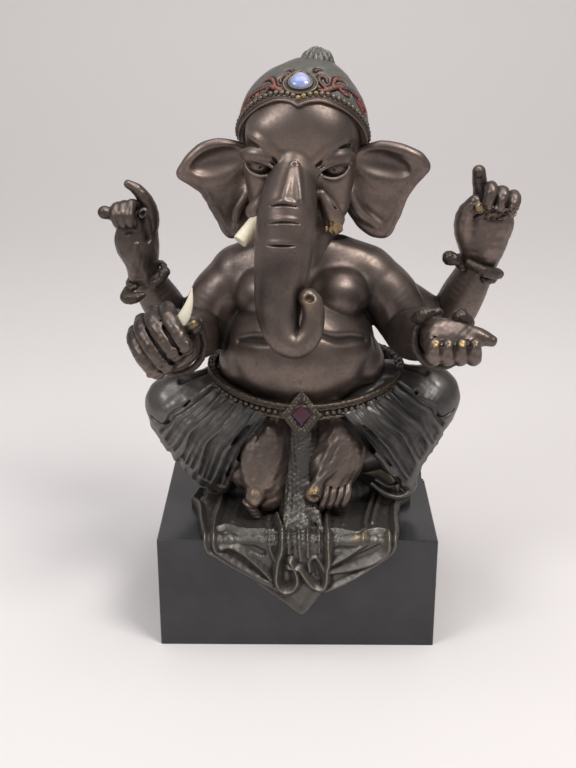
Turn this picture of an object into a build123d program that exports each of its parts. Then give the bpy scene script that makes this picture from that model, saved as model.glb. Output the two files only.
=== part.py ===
from build123d import *
import math
import os

# Seated four-armed elephant-headed figure in cast bronze, on a polished stone plinth.
# Frame: origin at the middle of the resting face, +Z up, the figure faces -Y,
# and the figure's own right side is towards -X. Millimetres.

# ---------------------------------------------------------------- driving dimensions
PLINTH_W = 120.0
PLINTH_D = 104.0
PLINTH_TOP = 54.0
EDGE_CHAMFER = 0.8
FELT_T = 1.0
FELT_INSET = 4.0
FELT_CORNER_R = 3.0

STUD_R = 3.0
STUD_TOP = 74.0
RECESS_R = 11.0
RECESS_CEILING = 16.0
STUD_CLEARANCE = 0.4
STUD_TAIL = 2.0
STUD_CHAMFER = 0.6
WASHER_R = 9.0
WASHER_CLEARANCE = 0.2
WASHER_T = 1.2
NUT_ACROSS_FLATS = 10.0
NUT_T = 5.0

MOUTH_TUSK_ROOT = Vector(-12.5, -19.0, 190.0)
MOUTH_TUSK_END = Vector(-23.6, -27.0, 178.0)
MOUTH_TUSK_R = (3.3, 3.1)
HELD_TUSK_ROOT = Vector(-46.0, -49.0, 143.0)
HELD_TUSK_TIP = Vector(-41.5, -51.0, 163.0)
HELD_TUSK_R = (3.6, 0.5)

BELT_Z = 108.5
BELT_A = 43.0
BELT_B = 36.0
BELT_T = 3.0
BELT_H = 7.0
BELT_TILT = 5.0
BELT_BEAD_R = 1.15
BELT_BEAD_COUNT = 84
BUCKLE_X = 1.6
BUCKLE_HALF = (7.6, 9.4)
BUCKLE_T = 3.0
BUCKLE_GEM_HALF = (4.2, 5.6)
BUCKLE_GEM_T = 2.6
BUCKLE_GEM_SLOPE = 28
BUCKLE_ROOM = 9.5
CHANNEL_H = 2 * BELT_BEAD_R + 0.2
CHANNEL_T = BELT_BEAD_R + 0.25

CAP_CENTRE = Vector(2.0, 1.0, 219.5)
CAP_R = 27.0
RIM_NORMAL = Vector(0.06, 0.61, 0.79).normalized()
RIM_OFFSET = 6.1
RIM_H = 3.2
RIM_T = 2.2
BEAD_R = 1.25
BEAD_GAP = 0.15
REBATE_H = 2 * BEAD_R + 0.1
CLEAR_OF_CAP = CAP_R + 8.0
GEM_HALF = (4.3, 3.5)
GEM_T = 2.4
GEM_FILLET = 1.2
BEZEL_HALF = (6.6, 5.4)
BEZEL_T = 2.3
ENAMEL_PROUD = 0.25
ENAMEL_DEEP = 0.75
EAR_Y = -3.0
EAR_WEB_T = 2.8
EAR_EDGE_R = 2.2
EAR_LOBE_R = 3.2

SPIGOT_R = 3.0
NECK_GAP = 0.94
FINGER_R = {"fist": 3.5, "palm": 3.1, "rear_right": 2.7, "rear_left": 2.9}
FOOT_FLOOR = PLINTH_TOP + 3.2
HEM_FLOOR = PLINTH_TOP + 2.5
HIPS_FLOOR = 76.0
WAIST_Z = 104.0
DRAPE_T = 3.2
DRAPE_FRONT_T = 4.0
DRAPE_FRONT = -PLINTH_D / 2
UPRIGHT = (0, 0, 0)
HAND_TURN = (40, 15, 0)

RIGHT, LEFT = -1, 1


# ---------------------------------------------------------------- shape helpers
# The primitives are made private and joined in one step, because the bodies here are
# many balls and tapers that run into one another.
def ball(centre, radius, turn=UPRIGHT):
    """A ball. turn moves its poles and seam clear of the runs that meet it."""
    return Sphere(radius, mode=Mode.PRIVATE).moved(Location(centre, turn))


def bar(start, end, r_start, r_end=None):
    """A straight round bar or taper between two points."""
    r_end = r_start if r_end is None else r_end
    start, end = Vector(*start), Vector(*end)
    run = end - start
    place = Plane(origin=(start + end) * 0.5, z_dir=run).location
    if abs(r_start - r_end) < 0.01:
        return Cylinder(r_start, run.length, mode=Mode.PRIVATE).moved(place)
    return Cone(r_start, r_end, run.length, mode=Mode.PRIVATE).moved(place)


def limb(points, radii, turn=UPRIGHT):
    """Balls at the points, joined by slightly slimmer tapers, as an arm or a finger."""
    balls = [ball(point, radius, turn) for point, radius in zip(points, radii)]
    tapers = [
        bar(points[i], points[i + 1], radii[i] * NECK_GAP, radii[i + 1] * NECK_GAP)
        for i in range(len(points) - 1)
    ]
    return balls + tapers


def cut_away(*pieces):
    """Leaves room for neighbours that are already made."""
    add([piece.part for piece in pieces], mode=Mode.SUBTRACT)


def half_space(point, normal, size=300.0):
    """Cuts everything on the normal's side of a plane off the part being built."""
    with Locations(Plane(origin=point, z_dir=normal).offset(size / 2).location):
        Box(size, size, size, mode=Mode.SUBTRACT)


# ---------------------------------------------------------------- plinth and its fixing
with BuildPart() as base_felt:
    with BuildSketch(Plane.XY):
        RectangleRounded(PLINTH_W - 2 * FELT_INSET, PLINTH_D - 2 * FELT_INSET, FELT_CORNER_R)
    extrude(amount=FELT_T)

with BuildPart() as plinth:
    with BuildSketch(Plane.XY.offset(FELT_T)):
        Rectangle(PLINTH_W, PLINTH_D)
    extrude(amount=PLINTH_TOP - FELT_T)
    chamfer(plinth.edges(), length=EDGE_CHAMFER)
    with BuildSketch(Plane.XY.offset(FELT_T)):
        Circle(RECESS_R)
    extrude(amount=RECESS_CEILING - FELT_T, mode=Mode.SUBTRACT)
    with BuildSketch(Plane.XY.offset(FELT_T)):
        Circle(STUD_R + STUD_CLEARANCE)
    extrude(amount=PLINTH_TOP, mode=Mode.SUBTRACT)

nut_floor = RECESS_CEILING - WASHER_T - NUT_T
stud_foot = nut_floor - STUD_TAIL
with BuildPart() as stud_washer:
    with BuildSketch(Plane.XY.offset(RECESS_CEILING - WASHER_T)):
        Circle(WASHER_R)
        Circle(STUD_R + WASHER_CLEARANCE, mode=Mode.SUBTRACT)
    extrude(amount=WASHER_T)

with BuildPart() as stud_nut:
    with BuildSketch(Plane.XY.offset(nut_floor)):
        RegularPolygon(NUT_ACROSS_FLATS / 2, 6, major_radius=False)
        Circle(STUD_R, mode=Mode.SUBTRACT)
    extrude(amount=NUT_T)

with BuildPart() as mounting_stud:
    with BuildSketch(Plane.XY.offset(stud_foot)):
        Circle(STUD_R)
    extrude(amount=STUD_TOP - stud_foot)
    chamfer(mounting_stud.edges().filter_by(GeomType.CIRCLE), length=STUD_CHAMFER)


# ---------------------------------------------------------------- tusks and gems
with BuildPart() as mouth_tusk:
    add(bar(MOUTH_TUSK_ROOT, MOUTH_TUSK_END, *MOUTH_TUSK_R))

with BuildPart() as held_tusk:
    add(bar(HELD_TUSK_ROOT, HELD_TUSK_TIP, *HELD_TUSK_R))

gem_normal = Vector(-0.05, -0.67, 0.74).normalized()
gem_plane = Plane(origin=CAP_CENTRE + gem_normal * (CAP_R - 1.0), x_dir=(1, 0, 0), z_dir=gem_normal)
with BuildPart() as crown_gem:
    with BuildSketch(gem_plane.offset(0.4)):
        Ellipse(*GEM_HALF)
    extrude(amount=GEM_T)
    fillet(crown_gem.faces().sort_by(Axis(gem_plane.origin, gem_normal))[-1].edges(), radius=GEM_FILLET)

with BuildPart() as gem_seat:
    with BuildSketch(gem_plane):
        Ellipse(*BEZEL_HALF)
    extrude(amount=BEZEL_T)

with BuildPart() as crown_bezel:
    add(gem_seat.part)
    cut_away(crown_gem)

buckle_normal = Vector(0, -0.93, 0.37).normalized()
buckle_plane = Plane(origin=(BUCKLE_X, -33.5, 104.5), x_dir=(1, 0, 0), z_dir=buckle_normal)


def lozenge(half_x, half_y):
    """A diamond outline on the sketch being drawn."""
    Polygon((half_x, 0), (0, half_y), (-half_x, 0), (0, -half_y))


with BuildPart() as buckle_gem:
    with BuildSketch(buckle_plane.offset(1.6)):
        lozenge(*BUCKLE_GEM_HALF)
    extrude(amount=BUCKLE_GEM_T, taper=BUCKLE_GEM_SLOPE)

with BuildPart() as buckle_seat:
    with BuildSketch(buckle_plane):
        lozenge(*BUCKLE_HALF)
    extrude(amount=BUCKLE_T)

with BuildPart() as buckle_frame:
    add(buckle_seat.part)
    cut_away(buckle_gem)


# ---------------------------------------------------------------- hands, bangles and arms
def hand(name, palm, palm_r, fingers, finger_r, thumb, spigot, tusk=None):
    """One cast hand: a palm, its fingers and thumb, and the spigot that enters the forearm."""
    bodies = limb(palm, palm_r, HAND_TURN) + [bar(spigot[0], spigot[1], SPIGOT_R)]
    for finger in fingers:
        bodies += limb(finger, [finger_r] * len(finger), HAND_TURN)
    bodies += limb(thumb, [finger_r * 1.1] * len(thumb), HAND_TURN)
    with BuildPart() as piece:
        add(bodies)
        if tusk is not None:
            cut_away(tusk)
    piece.part.label = name
    return piece


def bangle(name, centre, axis, r_mid, tube_r, knobs):
    """A round bracelet with its ornamental ends, each given as an angle round it and a length."""
    plane = Plane(origin=centre, z_dir=axis)
    ends = []
    for angle, length in knobs:
        out = Vector(math.cos(math.radians(angle)), math.sin(math.radians(angle)), 0)
        start = plane.from_local_coords(out * r_mid)
        tip = plane.from_local_coords(out * (r_mid + length) + Vector(0, 0, length * 0.4))
        ends.append(bar(start, tip, tube_r * 1.3, tube_r * 0.6))
    with BuildPart() as piece:
        with BuildSketch(plane.offset(-tube_r)):
            Circle(r_mid + tube_r)
            Circle(r_mid - tube_r, mode=Mode.SUBTRACT)
        extrude(amount=2 * tube_r)
        add(ends)
    piece.part.label = name
    return piece


def arm(name, points, radii, neighbours, spigot):
    """One cast arm from shoulder to wrist, with the spigot that enters the trunk of the body."""
    with BuildPart() as piece:
        add(limb(points, radii) + [bar(spigot[0], spigot[1], SPIGOT_R * 1.5)])
        half_space(points[-1], Vector(*points[-1]) - Vector(*points[-2]))
        for neighbour in neighbours:
            cut_away(neighbour)
    piece.part.label = name
    return piece


# front right: a fist that holds the broken tusk
FRONT_RIGHT = [(-33, 5, 151), (-41.5, 1, 132.5), (-50.5, -33, 139.5)]
fist_fingers = [
    [(-60.5 + 3.0 * i, -52 - 1.0 * i, 153.5 - 5.6 * i), (-53.0 + 2.6 * i, -58.5, 152 - 5.4 * i),
     (-46.5 + 1.6 * i, -53.5, 148.5 - 4.8 * i)]
    for i in range(4)
]
front_right_hand = hand(
    "front_right_hand",
    [(-54.5, -45.5, 147), (-51.5, -44, 138)], [9.5, 8.5],
    fist_fingers, FINGER_R["fist"],
    [(-45, -45, 150), (-41.5, -48.5, 145)],
    [(-52, -42, 142), (-48.2, -25, 138)], held_tusk)
front_right_bangle = bangle(
    "front_right_bangle", (-50.8, -36.0, 137.4), (-0.2, -0.9, 0.16), 12.8, 1.5, [(40, 3.0)])
front_right_arm = arm(
    "front_right_arm", FRONT_RIGHT, [12.0, 10.5, 8.0],
    [front_right_hand, front_right_bangle],
    [(-33, 5, 151), (-22, 6, 146)])

# front left: an open palm turned up
FRONT_LEFT = [(38, 5, 151), (47.5, 1, 133.0), (54.5, -32, 139.0)]
palm_fingers = [
    [(56.5 + 5.2 * i, -52, 141.5), (56.0 + 5.4 * i, -60, 141.0), (56.5 + 5.2 * i, -62.5, 146.5)]
    for i in range(4)
]
front_left_hand = hand(
    "front_left_hand",
    [(58, -41, 140.5), (62, -49, 140.5)], [7.0, 7.5],
    palm_fingers, FINGER_R["palm"],
    [(66, -44, 142), (73, -47, 143.5), (78.5, -49, 144.5)],
    [(58, -42, 140.5), (53, -24, 137.5)])
front_left_bangle = bangle(
    "front_left_bangle", (58.8, -36.0, 139.3), (0.25, -0.93, 0.2), 11.6, 1.6, [(100, 3.5), (35, 3.5)])
front_left_arm = arm(
    "front_left_arm", FRONT_LEFT, [12.2, 10.8, 8.3],
    [front_left_hand, front_left_bangle],
    [(38, 5, 151), (26, 6, 146)])

# rear right: raised, fingers folded and the forefinger bent forward
REAR_RIGHT = [(-27, 17, 147), (-55, 23, 125), (-69.5, 16, 153)]
rear_right_hand = hand(
    "rear_right_hand",
    [(-69.5, 14.5, 162), (-70.0, 12, 175)], [7.5, 9.0],
    [[(-76.0 + 4.2 * i, 9, 184), (-78.0 + 4.4 * i, 2.5, 184), (-77.0 + 4.4 * i, 1.5, 178)] for i in range(3)],
    FINGER_R["rear_right"],
    [(-78, 9, 176), (-83, 5.5, 181), (-86, 4, 184)],
    [(-69.5, 14.5, 162), (-66, 17.5, 147)])
with BuildPart() as rear_right_finger:
    add(limb([(-63.5, 12, 181), (-62.0, 11, 188.0), (-65.5, 10, 194.0), (-72.5, 8.5, 196.6)],
             [3.6, 3.2, 2.8, 2.1]))
    cut_away(rear_right_hand)
rear_right_bangle = bangle(
    "rear_right_bangle", (-68.3, 16, 151.5), (-0.42, -0.2, 0.88), 8.9, 1.4, [(-40, 4.5), (-100, 4.0)])
rear_right_arm = arm(
    "rear_right_arm", REAR_RIGHT, [10.5, 9.5, 7.4],
    [rear_right_hand, rear_right_bangle, front_right_arm],
    [(-27, 17, 147), (-12, 12, 142)])

# rear left: raised, the forefinger straight up
REAR_LEFT = [(33, 17, 147), (68, 23, 126), (81, 16, 157)]
rear_left_hand = hand(
    "rear_left_hand",
    [(81.5, 14.5, 165), (84.0, 12, 178)], [8.0, 10.0],
    [[(82.5 + 4.6 * i, 9, 188 - 1.6 * i), (82.8 + 4.8 * i, 2.0, 188 - 1.8 * i),
      (82.5 + 4.6 * i, 1.5, 181 - 1.6 * i)] for i in range(3)],
    FINGER_R["rear_left"],
    [(76, 9, 172), (74, 4, 180), (78, 1.5, 184)],
    [(81.5, 14.5, 165), (78, 17.5, 150)])
with BuildPart() as rear_left_finger:
    add(limb([(79, 11, 184), (77.5, 10, 193), (76.6, 9.5, 202.0)], [3.6, 3.2, 2.3]))
    cut_away(rear_left_hand)
rear_left_bangle = bangle(
    "rear_left_bangle", (79.5, 16, 155.0), (0.38, -0.2, 0.9), 9.3, 1.7, [(-140, 5.0), (-60, 4.5)])
rear_left_arm = arm(
    "rear_left_arm", REAR_LEFT, [10.5, 10.0, 8.0],
    [rear_left_hand, rear_left_bangle, front_left_arm],
    [(33, 17, 147), (16, 12, 142)])


# ---------------------------------------------------------------- head, ears and crown
rim_centre = CAP_CENTRE - RIM_NORMAL * RIM_OFFSET
rim_radius = math.sqrt(CAP_R**2 - RIM_OFFSET**2)
rim_plane = Plane(origin=rim_centre, x_dir=(1, 0, 0), z_dir=RIM_NORMAL)

# the room that the rim and the row of beads above it take out of the head and ears
with BuildPart() as rim_room:
    with BuildSketch(rim_plane.offset(-RIM_H / 2)):
        Circle(CLEAR_OF_CAP)
        Circle(rim_radius - RIM_T, mode=Mode.SUBTRACT)
    extrude(amount=RIM_H + REBATE_H)


def ear(name, side, rim_points, lobe_points):
    """A fan-shaped ear: a thick edge round a thin web that is let into the head."""
    outline = [(20.0 * side, 206.0)] + [(x, z) for x, y, z in rim_points] + [(20.0 * side, 186.0)]
    with BuildPart() as piece:
        with BuildSketch(Plane(origin=(0, EAR_Y, 0), x_dir=(1, 0, 0), z_dir=(0, -1, 0))):
            Polygon(*outline, align=None)
        extrude(amount=EAR_WEB_T / 2, both=True)
        add(limb(rim_points, [EAR_EDGE_R] * len(rim_points)))
        add(limb(lobe_points, [EAR_LOBE_R] * len(lobe_points)))
        cut_away(rim_room)
    piece.part.label = name
    return piece


ear_right = ear(
    "ear_right", RIGHT,
    [(-21.5, -3, 209.5), (-29, -4, 215), (-38.5, -4, 216), (-44, -4, 210), (-49, -4, 200.5),
     (-40, -3, 197), (-33.5, -2, 187), (-28.5, -1, 176)],
    [(-23, -1, 184), (-27.5, -1, 175.5)])
ear_left = ear(
    "ear_left", LEFT,
    [(22.5, -3, 208.5), (33, -4, 215), (42, -4, 212), (50, -4, 207), (52, -4, 200.5),
     (45, -3, 192), (39.5, -2, 184), (36.5, -1, 176.5)],
    [(24, -1, 188), (31, -1, 175.5)])

TRUNK_POINTS = [(-1.5, -15, 207), (-3.6, -27, 195.5), (-5.0, -31, 182), (-6.4, -32, 168),
                (-6.8, -35, 156), (-5.6, -40, 146.5), (-0.2, -42, 141.0), (5.6, -42, 146.5), (5.8, -41, 158)]
TRUNK_RADII = [10.5, 11.8, 11.8, 11.0, 9.6, 8.4, 7.4, 6.6, 5.6]

with BuildPart() as head:
    skull = [ball((1.0, 0.0, 213.0), 23.5), ball((0.0, -2.0, 198.0), 21.0)]
    cheeks = limb([(-13.0, -8.0, 188.0), (13.0, -8.0, 188.0)], [9.5, 9.5])
    trunk = limb(TRUNK_POINTS, TRUNK_RADII)
    neck = [bar((1, 3, 190), (1, 4, 152), 15.0)]
    add(skull + cheeks + trunk + neck)
    cut_away(mouth_tusk)
    cut_away(ear_right, ear_left)
    cut_away(rim_room)

with BuildPart() as crown_rim:
    with BuildSketch(rim_plane.offset(-RIM_H / 2)):
        Circle(rim_radius + 1.0)
        Circle(rim_radius - RIM_T, mode=Mode.SUBTRACT)
    extrude(amount=RIM_H)

# the beads sit in a rebate along the lower edge of the dome
bead_circle_r = rim_radius - 0.1
bead_count = round(2 * math.pi * bead_circle_r / (2 * BEAD_R + BEAD_GAP))
with BuildPart() as bead_rebate:
    with BuildSketch(rim_plane.offset(RIM_H / 2)):
        Circle(CLEAR_OF_CAP)
        Circle(bead_circle_r - BEAD_R - 0.05, mode=Mode.SUBTRACT)
    extrude(amount=REBATE_H)

with BuildPart() as crown_beads:
    with Locations(rim_plane.offset(RIM_H / 2 + REBATE_H / 2).location):
        with PolarLocations(bead_circle_r, bead_count):
            Sphere(BEAD_R)
    cut_away(gem_seat)

with BuildPart() as crown_knob:
    add(limb([(7.6, 5, 242), (7.4, 5, 248), (7.2, 5, 250.6)], [5.0, 5.6, 2.4]))


def enamel(name, side):
    """One side's inlay: a shallow shell on the dome, cut to three crescent scrolls."""
    with BuildPart() as piece:
        add(ball(CAP_CENTRE, CAP_R + ENAMEL_PROUD))
        add(ball(CAP_CENTRE, CAP_R - ENAMEL_DEEP), mode=Mode.SUBTRACT)
        with BuildSketch(Plane(origin=(0, -60, 0), x_dir=(1, 0, 0), z_dir=(0, -1, 0))):
            for x, z, r in ((13.0, 238.5, 2.9), (18.2, 235.0, 2.2), (21.2, 232.0, 1.4)):
                with Locations((CAP_CENTRE.X + side * (x - 1.0), z)):
                    Circle(r)
                with Locations((CAP_CENTRE.X + side * (x - 1.0 - r * 0.45), z - r * 0.45)):
                    Circle(r * 0.72, mode=Mode.SUBTRACT)
        extrude(amount=-58, mode=Mode.INTERSECT)
    piece.part.label = name
    return piece


crown_enamel_right = enamel("crown_enamel_right", RIGHT)
crown_enamel_left = enamel("crown_enamel_left", LEFT)

with BuildPart() as crown_cap:
    add(ball(CAP_CENTRE, CAP_R))
    half_space(rim_centre + RIM_NORMAL * RIM_H / 2, RIM_NORMAL * -1)
    cut_away(bead_rebate)
    cut_away(gem_seat, crown_knob)
    cut_away(crown_enamel_right, crown_enamel_left)
    cut_away(head)


# ---------------------------------------------------------------- legs, cloth and belt
def foot(name, ankle, middle, toes, side):
    """Lower leg and foot, with a row of toes and the spigot that enters the seat."""
    bodies = limb([ankle, middle, toes], [10.5, 11.0, 7.5])
    for i in range(5):
        across = toes[0] - side * (5.5 - 3.0 * i)
        bodies.append(ball((across, toes[1] - 6.0 + 0.9 * i, toes[2] - 2.2 - 0.5 * i), 3.2 - 0.35 * i))
    bodies.append(bar(middle, (middle[0], middle[1] + 22, middle[2] - 4), SPIGOT_R))
    with BuildPart() as piece:
        add(bodies)
        half_space((0, 0, FOOT_FLOOR), (0, 0, -1))
    piece.part.label = name
    return piece


foot_right = foot("foot_right", (-10.5, -15, 92.5), (-14.5, -24.5, 80), (-15.5, -32, 67), RIGHT)
foot_left = foot("foot_left", (18.5, -15, 92.5), (15.5, -24.5, 81), (12.5, -32, 67), LEFT)

belt_up = Vector(0, 0, 1).rotate(Axis.X, BELT_TILT)
belt_plane = Plane(origin=(3.5, 2.0, BELT_Z), x_dir=(1, 0, 0), z_dir=belt_up)
with BuildPart() as belt_band:
    with BuildSketch(belt_plane.offset(-BELT_H / 2)):
        Ellipse(BELT_A, BELT_B)
        Ellipse(BELT_A - BELT_T, BELT_B - BELT_T, mode=Mode.SUBTRACT)
    extrude(amount=BELT_H)
    with BuildSketch(belt_plane.offset(-CHANNEL_H / 2)):
        Ellipse(BELT_A + 1, BELT_B + 1)
        Ellipse(BELT_A - CHANNEL_T, BELT_B - CHANNEL_T, mode=Mode.SUBTRACT)
    extrude(amount=CHANNEL_H, mode=Mode.SUBTRACT)
    cut_away(buckle_seat)

belt_bead_turns = [2 * math.pi * (i + 0.5) / BELT_BEAD_COUNT for i in range(BELT_BEAD_COUNT)]
belt_bead_spots = [
    belt_plane.from_local_coords((BELT_A * math.cos(turn), BELT_B * math.sin(turn), 0))
    for turn in belt_bead_turns
]
with BuildPart() as belt_beads:
    # no bead where the buckle sits
    add([ball(spot, BELT_BEAD_R) for spot in belt_bead_spots
         if spot.Y > 0 or abs(spot.X - BUCKLE_X) > BUCKLE_ROOM])

# the room that the belt, its beads and the buckle take out of the body and the cloth
with BuildPart() as belt_room:
    with BuildSketch(belt_plane.offset(-BELT_H / 2)):
        Ellipse(BELT_A + BELT_BEAD_R + 0.2, BELT_B + BELT_BEAD_R + 0.2)
        Ellipse(BELT_A - BELT_T, BELT_B - BELT_T, mode=Mode.SUBTRACT)
    extrude(amount=BELT_H)
    add(buckle_seat.part)


def dhoti_leg(name, side, shift, knee_z, own_foot):
    """Cloth over one folded leg: hip, thigh and knee, and the pleated fall down to the hem."""
    hip = (shift + 22 * side, 10, 97)
    knee = (shift + 52.0 * side, -5, knee_z)
    fall = (shift + 35 * side, -8, 75)
    with BuildPart() as piece:
        add(limb([hip, knee, fall, (shift + 20 * side, -16, 86)], [17.0, 15.0, 14.5, 10.0]))
        half_space((0, 0, HEM_FLOOR), (0, 0, -1))
        cut_away(own_foot)
        cut_away(belt_room)
    piece.part.label = name
    return piece


dhoti_right = dhoti_leg("dhoti_right", RIGHT, 0.5, 96.5, foot_right)
dhoti_left = dhoti_leg("dhoti_left", LEFT, 4.0, 101.0, foot_left)

with BuildPart() as dhoti_hips:
    add(limb([(-16, 10, 96), (20, 10, 96)], [25.0, 25.0]))
    half_space((0, 0, WAIST_Z), (0, 0, 1))
    half_space((0, 0, HIPS_FLOOR), (0, 0, -1))
    cut_away(belt_room)
    cut_away(foot_right, foot_left)
    cut_away(dhoti_right)
    cut_away(dhoti_left)

with BuildPart() as seat_mound:
    with BuildSketch(Plane.XY.offset(PLINTH_TOP)):
        with Locations((2, 8)):
            Ellipse(44, 36)
    with BuildSketch(Plane.XY.offset(HIPS_FLOOR)):
        with Locations((2, 9)):
            Ellipse(36.5, 29.5)
    loft()
    cut_away(mounting_stud)
    cut_away(foot_right, foot_left)
    cut_away(dhoti_right)
    cut_away(dhoti_left)

with BuildPart() as drape:
    with BuildSketch(Plane.XY.offset(PLINTH_TOP)):
        Polygon((-47, -31), (-39, DRAPE_FRONT - 4), (45, DRAPE_FRONT - 4), (51, -32), (51, -6), (-39, -8),
                align=None)
    extrude(amount=DRAPE_T)
    with BuildSketch(Plane(origin=(0, DRAPE_FRONT, 0), x_dir=(1, 0, 0), z_dir=(0, -1, 0))):
        Polygon((-39, PLINTH_TOP + DRAPE_T), (-33, 46), (-14, 33), (3, 19), (12, 31), (24, 36), (39, 45),
                (45, PLINTH_TOP + DRAPE_T), align=None)
    extrude(amount=DRAPE_FRONT_T)
    cut_away(seat_mound)
    cut_away(foot_right, foot_left)

with BuildPart() as torso:
    belly = [ball((1.2, -4.0, 126.0), 31.5)]
    chest = limb([(-15, 3, 149), (18, 3, 149)], [20.5, 20.5])
    shoulders = limb([(-24, 5, 153), (28, 5, 153)], [13.0, 13.0])
    waist = limb([(-10, 8, 112), (13, 8, 112)], [25.5, 25.5])
    add(belly + chest + shoulders + waist)
    half_space((0, 0, WAIST_Z), (0, 0, -1))
    cut_away(belt_room)
    cut_away(head)
    for piece in (front_right_arm, front_left_arm, rear_right_arm, rear_left_arm):
        cut_away(piece)
    cut_away(dhoti_right)
    cut_away(dhoti_left)


# ---------------------------------------------------------------- hand-off
PIECES = {
    "base_felt": base_felt, "plinth": plinth, "mounting_stud": mounting_stud,
    "stud_washer": stud_washer, "stud_nut": stud_nut, "seat_mound": seat_mound, "drape": drape,
    "dhoti_hips": dhoti_hips, "dhoti_right": dhoti_right, "dhoti_left": dhoti_left,
    "foot_right": foot_right, "foot_left": foot_left, "belt_band": belt_band, "belt_beads": belt_beads,
    "buckle_frame": buckle_frame, "buckle_gem": buckle_gem, "torso": torso, "head": head,
    "ear_right": ear_right, "ear_left": ear_left, "mouth_tusk": mouth_tusk,
    "crown_cap": crown_cap, "crown_rim": crown_rim, "crown_beads": crown_beads, "crown_knob": crown_knob,
    "crown_bezel": crown_bezel, "crown_gem": crown_gem, "crown_enamel_right": crown_enamel_right,
    "crown_enamel_left": crown_enamel_left, "held_tusk": held_tusk,
    "front_right_arm": front_right_arm, "front_right_hand": front_right_hand,
    "front_right_bangle": front_right_bangle, "front_left_arm": front_left_arm,
    "front_left_hand": front_left_hand, "front_left_bangle": front_left_bangle,
    "rear_right_arm": rear_right_arm, "rear_right_hand": rear_right_hand,
    "rear_right_finger": rear_right_finger, "rear_right_bangle": rear_right_bangle,
    "rear_left_arm": rear_left_arm, "rear_left_hand": rear_left_hand,
    "rear_left_finger": rear_left_finger, "rear_left_bangle": rear_left_bangle,
}

os.makedirs("parts", exist_ok=True)
for name, piece in PIECES.items():
    piece.part.label = name
    export_step(piece.part, f"parts/{name}.step")
    print(name, len(piece.part.solids()), round(piece.part.volume), piece.part.is_valid)
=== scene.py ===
import math

import bmesh
import bpy
import numpy as np
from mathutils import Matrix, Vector


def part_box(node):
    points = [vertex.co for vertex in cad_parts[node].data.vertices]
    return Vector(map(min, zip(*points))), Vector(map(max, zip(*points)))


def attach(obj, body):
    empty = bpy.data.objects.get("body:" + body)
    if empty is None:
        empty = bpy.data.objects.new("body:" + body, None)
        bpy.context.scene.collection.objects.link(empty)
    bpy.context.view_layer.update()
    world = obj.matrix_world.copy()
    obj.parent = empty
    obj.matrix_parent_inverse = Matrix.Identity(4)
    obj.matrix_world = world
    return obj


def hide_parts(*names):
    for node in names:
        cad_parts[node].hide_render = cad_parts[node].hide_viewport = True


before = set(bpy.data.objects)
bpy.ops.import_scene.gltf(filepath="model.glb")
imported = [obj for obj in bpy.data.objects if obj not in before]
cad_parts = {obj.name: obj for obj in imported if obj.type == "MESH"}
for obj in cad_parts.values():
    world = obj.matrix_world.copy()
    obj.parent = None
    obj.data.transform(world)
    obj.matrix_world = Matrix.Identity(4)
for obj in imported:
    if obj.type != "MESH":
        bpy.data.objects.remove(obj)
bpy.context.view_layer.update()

# Everything below is in the CAD frame. Sculpting is done in millimetres.
MM = 0.001
COARSER = 1.0
EMPTY = 9.0         # the distance that fills a block of clay before anything is added
FINE_REACH = 0.7    # reach of the measure for wear on edges and painted shade in creases, mm
WIDE_REACH = 2.2    # reach of the measure of broad hollows, where painted shade goes, mm


# ------------------------------------------------------------------ frame helpers
def corners(node):
    """The lowest and highest corners of a CAD node's box, in millimetres."""
    low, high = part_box(node)
    return np.array(low) / MM, np.array(high) / MM


# ------------------------------------------------------------------ the clay: sculpting by distance fields
def unit(v):
    v = np.asarray(v, float)
    return v / np.linalg.norm(v)


def frame_of(z_axis, x_hint=(1, 0, 0)):
    """Rows are the x, y and z axes of a frame whose z runs along z_axis."""
    z = unit(z_axis)
    x = unit(np.asarray(x_hint, float) - z * np.dot(x_hint, z))
    return np.array([x, np.cross(z, x), z])


def spin(rx=0.0, ry=0.0, rz=0.0):
    """A rotation matrix whose rows are the turned axes, from degrees about X, Y and Z."""
    a, b, c = (math.radians(v) for v in (rx, ry, rz))
    mx = np.array([[1, 0, 0], [0, math.cos(a), -math.sin(a)], [0, math.sin(a), math.cos(a)]])
    my = np.array([[math.cos(b), 0, math.sin(b)], [0, 1, 0], [-math.sin(b), 0, math.cos(b)]])
    mz = np.array([[math.cos(c), -math.sin(c), 0], [math.sin(c), math.cos(c), 0], [0, 0, 1]])
    return (mz @ my @ mx).T


def flow(points, radii, per_span=6):
    """A smooth run through the points, with its radii, as many short spans."""
    p = np.asarray(points, float)
    r = np.broadcast_to(np.asarray(radii, float), (len(p),))
    if len(p) < 3:
        return p, r
    q = np.vstack([2 * p[0] - p[1], p, 2 * p[-1] - p[-2]])
    s = np.concatenate([[r[0]], r, [r[-1]]])
    out, width = [], []
    for i in range(1, len(q) - 2):
        for t in np.arange(per_span) / per_span:
            w = np.array([-t + 2 * t**2 - t**3, 2 - 5 * t**2 + 3 * t**3, t + 4 * t**2 - 3 * t**3,
                          t**3 - t**2]) / 2
            out.append(w @ q[i - 1:i + 3])
            width.append(w @ s[i - 1:i + 3])
    return np.vstack([out, p[-1:]]), np.append(width, r[-1])


def smooth_min(a, b, k):
    h = np.clip(k - np.abs(a - b), 0, None) / k
    return np.minimum(a, b) - h * h * (k / 4)


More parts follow.
